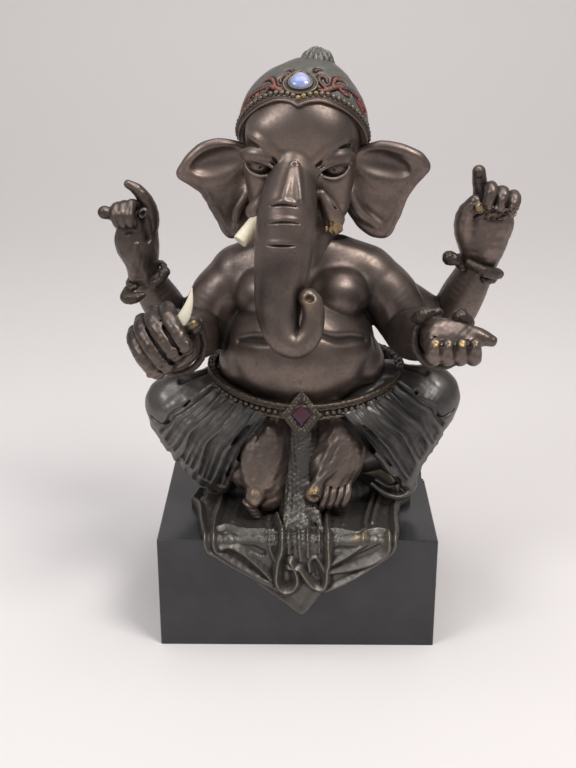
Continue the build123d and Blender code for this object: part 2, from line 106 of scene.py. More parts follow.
class Clay:
    """A block of signed distances on a grid, in millimetres from its home: negative inside."""

    def __init__(self, home, low, high, step):
        self.home = np.asarray(home, float)
        self.step = step * COARSER
        low, high = np.asarray(low, float), np.asarray(high, float)
        count = np.ceil((high - low) / self.step).astype(int) + 1
        self.axes = [low[i] + self.step * np.arange(count[i], dtype=np.float32) for i in range(3)]
        self.d = np.full(count, EMPTY, np.float32)
        self.low = low
        self.gilt = []

    def clear(self):
        """Empties the block, and keeps its rubbed places."""
        self.d[:] = EMPTY

    def gild(self, centre, reach, strength=1.0):
        """Rubs the surface through to bright brass round a point."""
        self.gilt.append((np.asarray(centre, float), reach, strength))

    def gild_run(self, points, reach, strength=1.0):
        """Rubs the surface through along a run of points."""
        for spot in flow(points, 1, 4)[0]:
            self.gild(spot, reach, strength)

    def front(self, x, z):
        """How far forward the clay reaches at a place seen from the front."""
        i, k = (round((value - self.low[n]) / self.step) for n, value in ((0, x), (2, z)))
        line = self.d[i, :, k]
        first = int(np.argmax(line < 0))
        part = line[first - 1] / (line[first - 1] - line[first])
        return self.low[1] + (first - 1 + part) * self.step

    def window(self, low, high):
        cut, xyz = [], []
        for i in range(3):
            a = int(np.clip(math.floor((low[i] - self.low[i]) / self.step), 0, len(self.axes[i]) - 1))
            b = int(np.clip(math.ceil((high[i] - self.low[i]) / self.step) + 1, a + 1, len(self.axes[i])))
            cut.append(slice(a, b))
            shape = [1, 1, 1]
            shape[i] = b - a
            xyz.append(self.axes[i][a:b].reshape(shape).astype(np.float32))
        return tuple(cut), xyz

    def everywhere(self):
        return self.window([-1e4] * 3, [1e4] * 3)

    def put(self, cut, dist, k, mode):
        now = self.d[cut]
        if mode == "add":
            self.d[cut] = smooth_min(now, dist, k)
        elif mode == "cut":
            self.d[cut] = -smooth_min(-now, dist, k)
        elif mode == "keep":
            self.d[cut] = -smooth_min(-now, -dist, k)

    def egg(self, centre, radii, axes=None, k=2.0, mode="add"):
        """An ellipsoid. axes holds its own x, y and z directions as rows."""
        r = np.broadcast_to(np.asarray(radii, float), (3,))
        reach = max(r) + k + 2 * self.step
        c = np.asarray(centre, float)
        cut, (x, y, z) = self.window(c - reach, c + reach)
        x, y, z = x - c[0], y - c[1], z - c[2]
        m = np.eye(3) if axes is None else axes
        u, v, w = (m[i, 0] * x + m[i, 1] * y + m[i, 2] * z for i in range(3))
        near = np.sqrt((u / r[0]) ** 2 + (v / r[1]) ** 2 + (w / r[2]) ** 2) + 1e-6
        far = np.sqrt((u / r[0] ** 2) ** 2 + (v / r[1] ** 2) ** 2 + (w / r[2] ** 2) ** 2) + 1e-6
        self.put(cut, near * (near - 1) / far, k, mode)

    def limb(self, points, radii, k=2.0, mode="add", squash=None, spans=6):
        """A round-section run through the points. squash = (direction, factor) flattens it that way."""
        p, r = flow(points, radii, spans)
        reach = r.max() + k + 2 * self.step
        cut, (x, y, z) = self.window(p.min(0) - reach, p.max(0) + reach)
        dist = np.full(np.broadcast_shapes(x.shape, y.shape, z.shape), 9.0, np.float32)
        whole = [s.start for s in cut]
        for i in range(len(p) - 1):
            a, b = p[i], p[i + 1]
            grow = max(r[i], r[i + 1]) + k + 2 * self.step
            inner, (u, v, w) = self.window(np.minimum(a, b) - grow, np.maximum(a, b) + grow)
            here = tuple(slice(s.start - o, s.stop - o) for s, o in zip(inner, whole))
            run = b - a
            length = max(float(run @ run), 1e-6)
            t = np.clip(((u - a[0]) * run[0] + (v - a[1]) * run[1] + (w - a[2]) * run[2]) / length, 0, 1)
            gx, gy, gz = u - a[0] - t * run[0], v - a[1] - t * run[1], w - a[2] - t * run[2]
            if squash is not None:
                n, f = unit(squash[0]), squash[1]
                along = (gx * n[0] + gy * n[1] + gz * n[2]) * (1 / f - 1)
                gx, gy, gz = gx + along * n[0], gy + along * n[1], gz + along * n[2]
            part = np.sqrt(gx * gx + gy * gy + gz * gz) - (r[i] + (r[i + 1] - r[i]) * t)
            if squash is not None:
                part *= squash[1] ** 0.5
            dist[here] = np.minimum(dist[here], part)
        self.put(cut, dist, k, mode)

    def groove(self, points, width, k=0.5):
        """A pressed line, as deep as half its width."""
        self.limb(points, width / 2, k=k, mode="cut", spans=5)

    def slab(self, point, normal, k=0.3):
        """Keeps what is behind a plane."""
        n = unit(normal)
        cut, (x, y, z) = self.everywhere()
        dist = (x - point[0]) * n[0] + (y - point[1]) * n[1] + (z - point[2]) * n[2]
        self.put(cut, dist.astype(np.float32), k, "keep")

    def rough(self, amount, size, seed, low=None, high=None):
        """Uneven casting texture made of summed waves, which repeat nowhere near."""
        rng = np.random.default_rng(seed)
        cut, (x, y, z) = self.everywhere() if low is None else self.window(low, high)
        total = np.zeros(np.broadcast_shapes(x.shape, y.shape, z.shape), np.float32)
        for _ in range(7):
            n = unit(rng.normal(size=3)) * (2 * math.pi / (size * rng.uniform(0.7, 1.5)))
            ex = np.exp(1j * (n[0] * x + rng.uniform(0, 6.3)))
            total += (ex * np.exp(1j * n[1] * y) * np.exp(1j * n[2] * z)).imag.astype(np.float32)
        self.d[cut] += total * (amount / 3)


def sample(field, spots):
    """Values of a grid field between its points."""
    top = np.array(field.shape) - 1.001
    q = np.clip(spots, 0, top)
    i = q.astype(np.int32)
    f = (q - i).astype(np.float32)
    out = np.zeros(len(q), np.float32)
    for dx in (0, 1):
        for dy in (0, 1):
            for dz in (0, 1):
                w = (f[:, 0] if dx else 1 - f[:, 0]) * (f[:, 1] if dy else 1 - f[:, 1])
                w = w * (f[:, 2] if dz else 1 - f[:, 2])
                out += w * field[i[:, 0] + dx, i[:, 1] + dy, i[:, 2] + dz]
    return out


def box_blur(field, n):
    """A box blur of 2n+1 cells along each axis."""
    for axis in range(3):
        pad = [(0, 0)] * 3
        pad[axis] = (n + 1, n)
        run = np.cumsum(np.pad(field, pad, mode="edge"), axis=axis, dtype=np.float64)
        size = field.shape[axis]
        high = np.take(run, np.arange(2 * n + 1, 2 * n + 1 + size), axis=axis)
        low = np.take(run, np.arange(0, size), axis=axis)
        field = ((high - low) / (2 * n + 1)).astype(np.float32)
    return field


def skin_of(d):
    """Quads round the zero level of a grid of distances, with the corners in grid units."""
    inside = d < 0
    total = np.zeros([n - 1 for n in d.shape], np.uint8)
    offsets = [(a, b, c) for a in (0, 1) for b in (0, 1) for c in (0, 1)]
    for a, b, c in offsets:
        total += inside[a:a + total.shape[0], b:b + total.shape[1], c:c + total.shape[2]]
    cells = np.argwhere((total > 0) & (total < 8))
    index = np.full(total.shape, -1, np.int32)
    index[tuple(cells.T)] = np.arange(len(cells))
    i, j, k = cells.T
    acc = np.zeros((len(cells), 3), np.float32)
    hits = np.zeros(len(cells), np.float32)
    for axis in range(3):
        for a in (0, 1):
            for b in (0, 1):
                start = np.insert([a, b], axis, 0)
                end = np.insert([a, b], axis, 1)
                da = d[i + start[0], j + start[1], k + start[2]]
                db = d[i + end[0], j + end[1], k + end[2]]
                cross = (da < 0) != (db < 0)
                t = np.where(cross, da / np.where(cross, da - db, 1), 0)
                spot = start + (end - start) * t[:, None]
                acc += spot * cross[:, None]
                hits += cross
    verts = cells + acc / hits[:, None]
    quads = []
    for axis in range(3):
        u, v = [n for n in range(3) if n != axis]
        lo = [slice(1, -1)] * 3
        lo[axis] = slice(0, -1)
        hi = list(lo)
        hi[axis] = slice(1, None)
        near, far = inside[tuple(lo)], inside[tuple(hi)]
        at = np.argwhere(near != far)
        base = at + np.array([1 if n != axis else 0 for n in range(3)])
        ring = []
        for du, dv in ((-1, -1), (0, -1), (0, 0), (-1, 0)):
            q = base.copy()
            q[:, u] += du
            q[:, v] += dv
            ring.append(index[tuple(q.T)])
        quad = np.stack(ring, 1)
        turn = near[tuple(at.T)] ^ (axis == 1)
        quad[~turn] = quad[~turn][:, ::-1]
        quads.append(quad)
    quads = np.vstack(quads)
    return verts, quads[(quads >= 0).all(1)]


def surface(clay):
    """The skin of a block of clay: corners in its own millimetres, quads, normals, and the measures that set
    wear and painted shade.
    """
    d = clay.d
    verts, quads = skin_of(d)
    for _ in range(2):
        level = sample(d, verts)
        slope = slope_at(d, verts)
        size = (slope * slope).sum(1, keepdims=True) + 1e-4
        verts = verts - np.clip(slope * (level[:, None] / size), -0.5, 0.5)
    slope = slope_at(d, verts)
    normals = slope / np.maximum(np.linalg.norm(slope, axis=1, keepdims=True), 1e-6)
    near = np.clip(d, -4, 4)
    fine = max(1, round(FINE_REACH / clay.step))
    wide = max(2, round(WIDE_REACH / clay.step))
    spots = clay.low + verts * clay.step
    gilt = np.zeros(len(verts))
    for centre, reach, strength in clay.gilt:
        far = np.linalg.norm(spots - centre, axis=1)
        gilt = np.maximum(gilt, strength * np.clip(1.6 - 1.6 * far / (reach * 1.5), 0, 1))
    layers = {
        # edge sets wear on ridges and painted shade in creases; broad sets painted shade in wide hollows
        "edge": sample(box_blur(near, fine), verts) / (fine * clay.step),
        "broad": sample(box_blur(near, wide), verts) / (wide * clay.step),
        "gilt": gilt,
    }
    return spots, quads, normals, layers


def slope_at(d, verts):
    """The gradient of a grid of distances at each place, in distance per cell."""
    half = np.eye(3) * 0.5
    return np.stack([sample(d, verts + half[n]) - sample(d, verts - half[n]) for n in range(3)], 1)


def cast(clay, name, node, material):
    """Turns a block of clay into a mesh piece with its wear and hollow measures."""
    spots, quads, normals, layers = surface(clay)
    return pour(clay.home + spots, quads, normals, layers, name, node, material)


def pour(spots, quads, normals, layers, name, node, material):
    """Makes the mesh piece that replaces a CAD node, with its measures for wear and painted shade as vertex
    values.
    """
    piece = mesh_piece(name, spots * MM, quads, material)
    for label, values in layers.items():
        layer = piece.data.attributes.new(label, "FLOAT", "POINT")
        layer.data.foreach_set("value", values.astype(np.float32))
    piece.data.normals_split_custom_set_from_vertices(normals.astype(np.float32))
    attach(piece, "root")
    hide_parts(node)
    return piece


def mesh_piece(name, verts, faces, material, smooth=True):
    """A linked object made of corners in metres and faces, either quads in one array or mixed."""
    mesh = bpy.data.meshes.new(name)
    verts = np.asarray(verts, np.float32)
    if isinstance(faces, np.ndarray) and faces.ndim == 2:
        mesh.vertices.add(len(verts))
        mesh.vertices.foreach_set("co", verts.ravel())
        mesh.loops.add(faces.size)
        mesh.loops.foreach_set("vertex_index", faces.ravel().astype(np.int32))
        mesh.polygons.add(len(faces))
        mesh.polygons.foreach_set("loop_start", np.arange(0, faces.size, faces.shape[1], dtype=np.int32))
        mesh.update(calc_edges=True)
    else:
        mesh.from_pydata([tuple(map(float, v)) for v in verts], [], [tuple(map(int, f)) for f in faces])
    mesh.validate()
    mesh.polygons.foreach_set("use_smooth", [smooth] * len(mesh.polygons))
    mesh.materials.append(material)
    piece = bpy.data.objects.new(name, mesh)
    bpy.context.scene.collection.objects.link(piece)
    return piece


# ------------------------------------------------------------------ materials
def new_material(name):
    mat = bpy.data.materials.new(name)
    mat.use_nodes = True
    nodes, links = mat.node_tree.nodes, mat.node_tree.links
    nodes.clear()
    out = nodes.new("ShaderNodeOutputMaterial")
    shader = nodes.new("ShaderNodeBsdfPrincipled")
    links.new(shader.outputs[0], out.inputs["Surface"])
    return mat, nodes, links, shader


def noise(nodes, links, scale, detail=4.0, rough=0.55, stretch=None):
    coord = nodes.new("ShaderNodeTexCoord")
    tex = nodes.new("ShaderNodeTexNoise")
    tex.inputs["Scale"].default_value = scale
    tex.inputs["Detail"].default_value = detail
    tex.inputs["Roughness"].default_value = rough
    if stretch is None:
        links.new(coord.outputs["Object"], tex.inputs["Vector"])
    else:
        place = nodes.new("ShaderNodeMapping")
        place.inputs["Scale"].default_value = stretch
        links.new(coord.outputs["Object"], place.inputs["Vector"])
        links.new(place.outputs[0], tex.inputs["Vector"])
    return tex.outputs["Fac"]


def ramp(nodes, links, value, low, high, out_low=0.0, out_high=1.0):
    node = nodes.new("ShaderNodeMapRange")
    node.inputs["From Min"].default_value = low
    node.inputs["From Max"].default_value = high
    node.inputs["To Min"].default_value = out_low
    node.inputs["To Max"].default_value = out_high
    links.new(value, node.inputs["Value"])
    return node.outputs[0]


def mix(nodes, links, factor, a, b):
    node = nodes.new("ShaderNodeMix")
    node.data_type = "RGBA"
    links.new(factor, node.inputs["Factor"])
    for socket, value in ((node.inputs["A"], a), (node.inputs["B"], b)):
        if isinstance(value, tuple):
            socket.default_value = (*value, 1)
        else:
            links.new(value, socket)
    return node.outputs["Result"]


def maths(nodes, links, kind, a, b):
    node = nodes.new("ShaderNodeMath")
    node.operation = kind
    for socket, value in ((node.inputs[0], a), (node.inputs[1], b)):
        if isinstance(value, (int, float)):
            socket.default_value = value
        else:
            links.new(value, socket)
    return node.outputs[0]


def bump(nodes, links, shader, layers):
    """Stacks bumps given as (height, strength, distance in metres)."""
    normal = None
    for height, strength, distance in layers:
        node = nodes.new("ShaderNodeBump")
        node.inputs["Strength"].default_value = strength
        node.inputs["Distance"].default_value = distance
        links.new(height, node.inputs["Height"])
        if normal is not None:
            links.new(normal, node.inputs["Normal"])
        normal = node.outputs[0]
    links.new(normal, shader.inputs["Normal"])


def attribute(nodes, name):
    node = nodes.new("ShaderNodeAttribute")
    node.attribute_name = name
    return node.outputs["Fac"]


def patina(name, dark, mid, worn, dust_and_shade, shine, wear=0.5, hollow_dust_and_shade=0.5, grain=0.15, grit=0.0, metal=0.55,
           tone=(9, 60)):
    """Bronze: a mottled patina, with painted shade in the hollows and creases (pale dust instead where the
    hollow colour is light), and rubbed through to the metal on the edges.
    """
    mat, nodes, links, shader = new_material(name)
    cloud = noise(nodes, links, tone[0], 3.0)
    speck = noise(nodes, links, tone[1] * 10, 5.0, 0.7)
    fine = noise(nodes, links, 2600, 3.0, 0.6)
    base = mix(nodes, links, ramp(nodes, links, cloud, 0.35, 0.65), dark, mid)
    base = mix(nodes, links, ramp(nodes, links, speck, 0.45, 0.75, 0, 0.35), base, dust_and_shade)
    broken = ramp(nodes, links, speck, 0.3, 0.7, -0.12, 0.12)
    edge = maths(nodes, links, "ADD", attribute(nodes, "edge"), broken)
    high = ramp(nodes, links, edge, 0.10 + 0.25 * (1 - wear), 0.5 + 0.35 * (1 - wear))
    # Painted shade: creases and broad hollows are mixed towards the patina's hollow colour. Where that colour
    # is near black, as on most materials, this paints the shade that falls there; where it is pale, as on the
    # ornaments, it is dust.
    low = ramp(nodes, links, maths(nodes, links, "ADD", attribute(nodes, "edge"), broken), -0.03, -0.32)
    hollow = ramp(nodes, links, attribute(nodes, "broad"), -0.01, -0.16)
    deep = maths(nodes, links, "MAXIMUM", low, maths(nodes, links, "MULTIPLY", hollow, 0.85))
    base = mix(nodes, links, maths(nodes, links, "MULTIPLY", deep, hollow_dust_and_shade), base, dust_and_shade)
    base = mix(nodes, links, maths(nodes, links, "MULTIPLY", high, wear), base, worn)
    gilt = maths(nodes, links, "ADD", attribute(nodes, "gilt"),
                 ramp(nodes, links, speck, 0.3, 0.7, -0.3, 0.15))
    base = mix(nodes, links, ramp(nodes, links, gilt, 0.15, 0.9, 0.0, 0.85), base, GOLD)
    links.new(base, shader.inputs["Base Color"])
    shader.inputs["Metallic"].default_value = metal
    rough = ramp(nodes, links, speck, 0.3, 0.75, shine - 0.05, shine + 0.12)
    rough = maths(nodes, links, "ADD", rough, maths(nodes, links, "MULTIPLY", deep, 0.25))
    links.new(rough, shader.inputs["Roughness"])
    shader.inputs["Specular IOR Level"].default_value = 0.5
    layers = [(speck, grain, 0.0004), (fine, grain * 0.6, 0.00012)]
    if grit > 0:
        sand = noise(nodes, links, 1150, 2.0, 0.8)
        layers.append((sand, grit, 0.0005))
    bump(nodes, links, shader, layers)
    return mat


def plain(name, color, roughness, metallic=0.0, clear=0.0, size=900, mottle=0.25, lift=0.05, second=None):
    """A smooth material with slight mottling, fine bumps and an optional second colour."""
    mat, nodes, links, shader = new_material(name)
    tex = noise(nodes, links, size, 4.0)
    cloud = noise(nodes, links, size / 12, 2.0)
    other = second or tuple(c * (1 - mottle) for c in color)
    base = mix(nodes, links, ramp(nodes, links, cloud, 0.4, 0.62), color, other)
    links.new(base, shader.inputs["Base Color"])
    links.new(ramp(nodes, links, tex, 0.3, 0.7, roughness - 0.04, roughness + 0.06),
              shader.inputs["Roughness"])
    shader.inputs["Metallic"].default_value = metallic
    shader.inputs["Coat Weight"].default_value = clear
    shader.inputs["Coat Roughness"].default_value = 0.08
    bump(nodes, links, shader, [(tex, lift, 0.0002)])
    return mat


GOLD = (0.50, 0.34, 0.13)
# The fourth colour of each patina goes into hollows and creases: near black on skin, dhoti, cloth, crown and
# beads, where it is painted shade, and a pale dust on the ornaments.
SKIN = patina("skin_bronze", (0.085, 0.069, 0.063), (0.225, 0.172, 0.146), (0.58, 0.42, 0.30),
              (0.016, 0.013, 0.012), 0.36, wear=0.5, hollow_dust_and_shade=0.9, metal=0.8, tone=(30, 60))
DHOTI = patina("dhoti_bronze", (0.075, 0.072, 0.070), (0.160, 0.149, 0.138), (0.50, 0.40, 0.30),
               (0.012, 0.011, 0.011), 0.34, tone=(30, 60), wear=0.6, hollow_dust_and_shade=0.85, metal=0.75)
CLOTH = patina("cloth_bronze", (0.080, 0.074, 0.068), (0.140, 0.128, 0.114), (0.44, 0.35, 0.25),
               (0.018, 0.016, 0.015), 0.36, wear=0.55, hollow_dust_and_shade=0.9, grit=0.08, metal=0.65)
CROWN = patina("crown_bronze", (0.100, 0.098, 0.090), (0.160, 0.155, 0.140), (0.38, 0.32, 0.25),
               (0.040, 0.037, 0.034), 0.40, wear=0.45, hollow_dust_and_shade=0.8, grit=0.12, metal=0.5)
ORNAMENT = patina("ornament_bronze", (0.045, 0.034, 0.028), (0.080, 0.058, 0.044), (0.36, 0.25, 0.16),
                  (0.08, 0.07, 0.06), 0.36, wear=0.6, hollow_dust_and_shade=0.5)
BEAD = patina("bead_brass", (0.060, 0.050, 0.042), (0.110, 0.090, 0.070), (0.42, 0.34, 0.23),
              (0.040, 0.035, 0.030), 0.36, wear=0.55, hollow_dust_and_shade=0.8, metal=0.7)
STONE = plain("plinth_stone", (0.030, 0.030, 0.032), 0.22, clear=0.0, size=500, mottle=0.3, lift=0.02)
TUSK = plain("tusk_resin", (0.80, 0.76, 0.62), 0.33, size=260, second=(0.66, 0.58, 0.40), lift=0.08)
OPAL = plain("opal_gem", (0.22, 0.28, 0.52), 0.14, clear=0.5, size=1500, second=(0.48, 0.44, 0.62), lift=0.02)
GARNET = plain("buckle_gem", (0.045, 0.040, 0.060), 0.12, clear=0.4, size=1500,
               second=(0.060, 0.016, 0.024), lift=0.02)
ENAMEL = plain("red_enamel", (0.23, 0.070, 0.052), 0.42, size=1800, second=(0.10, 0.05, 0.042), lift=0.15)
FELT = plain("felt", (0.02, 0.024, 0.021), 0.9, size=3500, mottle=0.5, lift=0.6)
STEEL = plain("fixing_steel", (0.5, 0.5, 0.5), 0.3, metallic=1.0, size=1800, mottle=0.15, lift=0.1)

for node, material in (("base_felt", FELT), ("mounting_stud", STEEL), ("stud_washer", STEEL),
                       ("stud_nut", STEEL)):
    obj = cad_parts[node]
    obj.data.materials.clear()
    obj.data.materials.append(material)


# ------------------------------------------------------------------ figure frame
# Figure coordinates: millimetres from the middle of the plinth's top face.
PLINTH_LOW, PLINTH_HIGH = corners("plinth")
DATUM = np.array([(PLINTH_LOW[0] + PLINTH_HIGH[0]) / 2, (PLINTH_LOW[1] + PLINTH_HIGH[1]) / 2, PLINTH_HIGH[2]])
RIGHT, LEFT = -1, 1


def block(nodes, step, margin=6.0):
    """Clay that fills the boxes of some CAD nodes, with room to spare."""
    nodes = [nodes] if isinstance(nodes, str) else nodes
    boxes = [corners(n) for n in nodes]
    low = np.min([b[0] for b in boxes], 0) - margin - DATUM
    high = np.max([b[1] for b in boxes], 0) + margin - DATUM
    return Clay(DATUM, low, high, step)


# ------------------------------------------------------------------ head
HEAD = np.array([1.0, 0.0, 157.0])
EYES = {RIGHT: np.array([-15.6, -15.0, 153.6]), LEFT: np.array([14.6, -15.0, 152.6])}
TRUNK = [(-1.6, -9, 158), (-2.4, -18, 150), (-4.0, -26.5, 139), (-5.3, -30, 127.4), (-6.6, -32.5, 113.4),
         (-7.8, -35, 101.6), (-7.7, -39, 93.8), (-5.2, -42.5, 87.3), (0.0, -44, 85.4), (4.6, -44, 89.8),
         (6.2, -43.5, 96.5), (5.7, -43, 102.3), (4.2, -42.5, 104.8)]
TRUNK_R = [7.5, 9.2, 11.6, 12.2, 11.3, 9.9, 8.3, 6.7, 5.7, 5.1, 4.6, 4.4, 4.0]


def sculpt_head():
    """Skull, face and trunk in one piece."""
    clay = block("head", 0.42, 4)
    clay.egg(HEAD, (22.6, 23.5, 24.0), k=1)
    clay.egg((2.0, 1.0, 165.5), (24.4, 24.9, 25.2), k=3)
    clay.egg((0.4, -2.5, 143.5), (20.6, 19.0, 19.0), k=7)
    clay.egg((0.6, 4, 136), (17, 16, 15), k=6)
    for side in (RIGHT, LEFT):
        clay.egg((0.5 + side * 12.6, -8, 137), (8.2, 10, 10.5), k=5)
        clay.egg((0.3 + side * 15.5, -8, 149), (7.0, 10, 9.0), k=4)
        clay.egg((0.3 + side * 11.0, -12, 166), (10, 9, 9), k=6)
    clay.limb([(1, 4, 136), (1, 5, 100)], [16, 15], k=5)
    clay.limb(TRUNK, TRUNK_R, k=3.0, spans=16)
    clay.egg((-1.6, -22.2, 154.5), (4.0, 3.0, 4.4), k=2.5)
    for side in (RIGHT, LEFT):
        sculpt_eye(clay, side)
    sculpt_trunk_lines(clay)
    sculpt_cheek_folds(clay)
    return cast(clay, "head_sculpt", "head", SKIN)


def sculpt_eye(clay, side):
    e = EYES[side]
    # socket, brow ridge, ball, lids
    clay.egg(e + (0, -3.5, 1.5), (6.5, 4.0, 5.0), k=3.5, mode="cut")
    brow = [e + (-side * 7.4, -6.4, 3.6), e + (-side * 4.0, -5.6, 7.0), e + (side * 0.6, -4.2, 10.2),
            e + (side * 4.4, -1.6, 11.6)]
    clay.limb(brow, [1.4, 1.9, 1.7, 1.1], k=2.2)
    clay.gild_run([brow[0] + (0, -1.8, 0.4), brow[1] + (0, -1.8, 0.6), brow[2] + (0, -1.6, 0.3)], 1.2, 0.34)
    crease = [e + (-side * 7.2, -7.0, 1.6), e + (-side * 3.0, -6.3, 5.0), e + (side * 2.5, -4.2, 8.0),
              e + (side * 6.5, -0.6, 8.0)]
    clay.groove(crease, 1.6, k=1.0)
    clay.egg(e + (0.3 * side, -1.0, 3.0), (6.4, 4.6, 3.6), axes=spin(0, side * 10, 0), k=1.6)
    clay.egg(e + (0, -0.6, -0.4), (5.0, 4.6, 4.0), k=0.5)
    upper = [e + (-side * 6.8, -6.4, -1.9), e + (-side * 3.4, -6.4, 0.5), e + (side * 0.4, -6.0, 2.0),
             e + (side * 4.0, -4.4, 2.4), e + (side * 6.9, -1.8, 1.6)]
    lower = [e + (-side * 6.8, -6.4, -1.9), e + (-side * 3.6, -6.0, -3.7), e + (side * 0.4, -5.4, -4.2),
             e + (side * 4.4, -3.9, -2.4), e + (side * 6.9, -1.8, 1.6)]
    # heavy upper lid that swells down from the brow
    clay.limb([p + (0, 1.6, 2.2) for p in upper[1:]], [2.2, 2.6, 2.4, 1.6], k=2.4)
    clay.limb(upper, [0.5, 0.8, 0.9, 0.8, 0.4], k=0.5)
    clay.limb(lower, [0.4, 0.6, 0.7, 0.6, 0.4], k=0.7)
    clay.groove([p + (0, -0.5, -1.2) for p in upper], 0.7, k=0.4)
    pupil = e + (-side * 0.4, -5.3, -1.0)
    ring = [pupil + (1.8 * math.sin(turn), 0.15, 1.8 * math.cos(turn)) for turn in np.linspace(0.6, 5.7, 10)]
    clay.groove(ring, 0.4, k=0.3)
    clay.egg(pupil + (0, 0.1, 0), (0.8, 0.6, 0.8), k=0.3, mode="cut")


def sculpt_trunk_lines(clay):
    # the button at the root of the trunk, with two ridges that part below it
    clay.egg((-1.6, clay.front(-1.6, 154.8) + 0.2, 154.8), (1.9, 0.9, 2.0), k=0.8)
    clay.egg((-1.6, clay.front(-1.6, 154.8) - 0.4, 154.8), (0.9, 0.8, 1.0), k=0.4, mode="cut")
    for x, lean in ((-3.0, -1.3), (-0.4, 0.5)):
        line = [(x + lean * (152.5 - z) / 4, clay.front(x, z) + 0.2, z) for z in (153.2, 150.0, 146.6, 143.4)]
        clay.limb(line, [0.4, 0.5, 0.5, 0.3], k=3.0)
    for z, left, right, drop in ((141.0, -11.0, -0.6, 1.0), (134.6, -11.4, 0.6, 1.0),
                                 (126.3, -12.4, -1.0, 0.2)):
        xs = np.linspace(left, right, 6)
        sag = drop * (1 - ((xs - xs.mean()) / (xs[-1] - xs.mean())) ** 2)
        line = [np.array([x, clay.front(x, z) + 0.15, z + rise - 0.5]) for x, rise in zip(xs, sag)]
        clay.limb([p + (0, 0.8, 1.1) for p in line], [0.2, 0.6, 0.8, 0.8, 0.6, 0.2], k=1.2)
        clay.limb([p + (0, 0.8, -1.1) for p in line], [0.2, 0.6, 0.7, 0.7, 0.6, 0.2], k=1.2)
        clay.limb(line, [0.2, 0.4, 0.5, 0.5, 0.4, 0.2], k=0.4, mode="cut")
    clay.egg((4.6, -46.4, 105.6), (1.9, 1.6, 1.6), k=0.5, mode="cut")


def sculpt_cheek_folds(clay):
    clay.limb([(-12.2, -22.5, 142.5), (-15.4, -21.5, 138.8), (-17.6, -20.5, 135.0)], [1.6, 3.0, 4.0], k=1.6)
    clay.groove([(-12.0, -25.6, 142.0), (-14.2, -25.0, 139.0), (-16.2, -24.4, 136.0)], 0.7, k=0.5)
    clay.limb([(9.4, -24.0, 143.0), (12.6, -23.0, 137.0), (14.6, -21.5, 132.0)], [1.8, 3.6, 4.4], k=1.6)
    clay.groove([(9.0, -26.6, 143.5), (12.8, -26.4, 141.0), (15.2, -24.8, 136.5), (16.4, -22.8, 132.0)],
                0.9, k=0.5)
    # the broken root of the other tusk, rough
    clay.egg((14.2, -22.6, 128.6), (4.0, 3.4, 2.8), k=0.8)
    clay.rough(0.35, 2.2, 5, low=(9, -28, 124.5), high=(20, -16, 131.5))
    clay.gild((14.0, -25.6, 128.6), 4.6, 0.55)
    clay.gild((3.8, -48, 104.6), 4.0, 0.4)


def sculpt_ear(side):
    """An ear of three joined runs: the rolled top rim, the outer fold and the inner edge."""
    node = "ear_right" if side == RIGHT else "ear_left"
    clay = block(node, 0.4, 5)
    if side == RIGHT:
        rim = [(-20.5, -2, 155.0), (-26, -3.2, 158.0), (-33, -4.2, 159.2), (-39.5, -4.8, 157.6),
               (-44.8, -5, 153.0), (-48.6, -5, 147.4)]
        fold = [(-48.6, -5, 147.4), (-44.0, -4.6, 145.6), (-40.2, -4.0, 142.2), (-35.6, -3.2, 133.4),
                (-31.2, -2.4, 125.5), (-28.6, -2, 121.8)]
        inner = [(-28.6, -2, 121.8), (-25.0, -2, 123.5), (-22.6, -2, 129.5)]
        heart = (-32.0, 145.0)
    else:
        rim = [(21.5, -2, 152.5), (27, -3.2, 155.8), (34, -4.2, 158.4), (42, -5, 157.4), (49.2, -5.4, 154.4),
               (52.4, -5.2, 150.2)]
        fold = [(52.4, -5.2, 150.2), (47.8, -4.8, 145.2), (43.8, -4.2, 138.6), (41.2, -3.4, 130.8),
                (38.2, -2.4, 125.0), (36.4, -2.2, 122.2)]
        inner = [(36.4, -2.2, 122.2), (31.6, -2, 123.0), (27.0, -2, 127.0), (23.6, -2, 136.0)]
        heart = (34.0, 144.0)
    hub = np.array((side * 20.0, -1.0, 142.0))
    outline = rim + fold[1:] + inner[1:]
    for i in range(len(outline) - 1):
        a, b = np.array(outline[i]), np.array(outline[i + 1])
        for t in (0.0, 0.5):
            edge_point = a + (b - a) * t
            clay.limb([hub, (hub + edge_point) / 2 + (0, 0.8, 0), edge_point], [3.8, 3.2, 2.4], k=2.6,
                      spans=2, squash=((0, 1, 0), 0.62))
    clay.limb(rim, [1.8, 2.2, 2.4, 2.4, 2.3, 1.6], k=0.9)
    clay.limb(fold, [1.6, 1.5, 1.6, 1.7, 1.8, 1.9], k=1.2)
    clay.limb(inner, [1.9, 1.9, 1.8, 1.8][:len(inner)], k=1.4)
    # hollow under the rolled top edge, a broad plane, a deep valley and the lower flap
    clay.egg((heart[0] + side * 0.5, -6.4, heart[1] + 7.6), (11.5, 3.4, 4.8), axes=spin(0, side * 14, 0),
             k=2.4, mode="cut")
    clay.limb([hub + (side * 2.5, -4.6, 5), hub + (side * 9, -6.6, -2.5), hub + (side * 17, -6.0, -5.5)],
              [1.6, 3.0, 1.4], k=3.4, mode="cut")
    clay.limb([hub + (side * 1.5, -3.6, -3), hub + (side * 6.0, -4.4, -11),
               np.array(fold[-1]) + (-side * 2.5, -1.6, 3)], [2.2, 2.2, 1.6], k=2.4)
    return cast(clay, node + "_sculpt", node, SKIN)


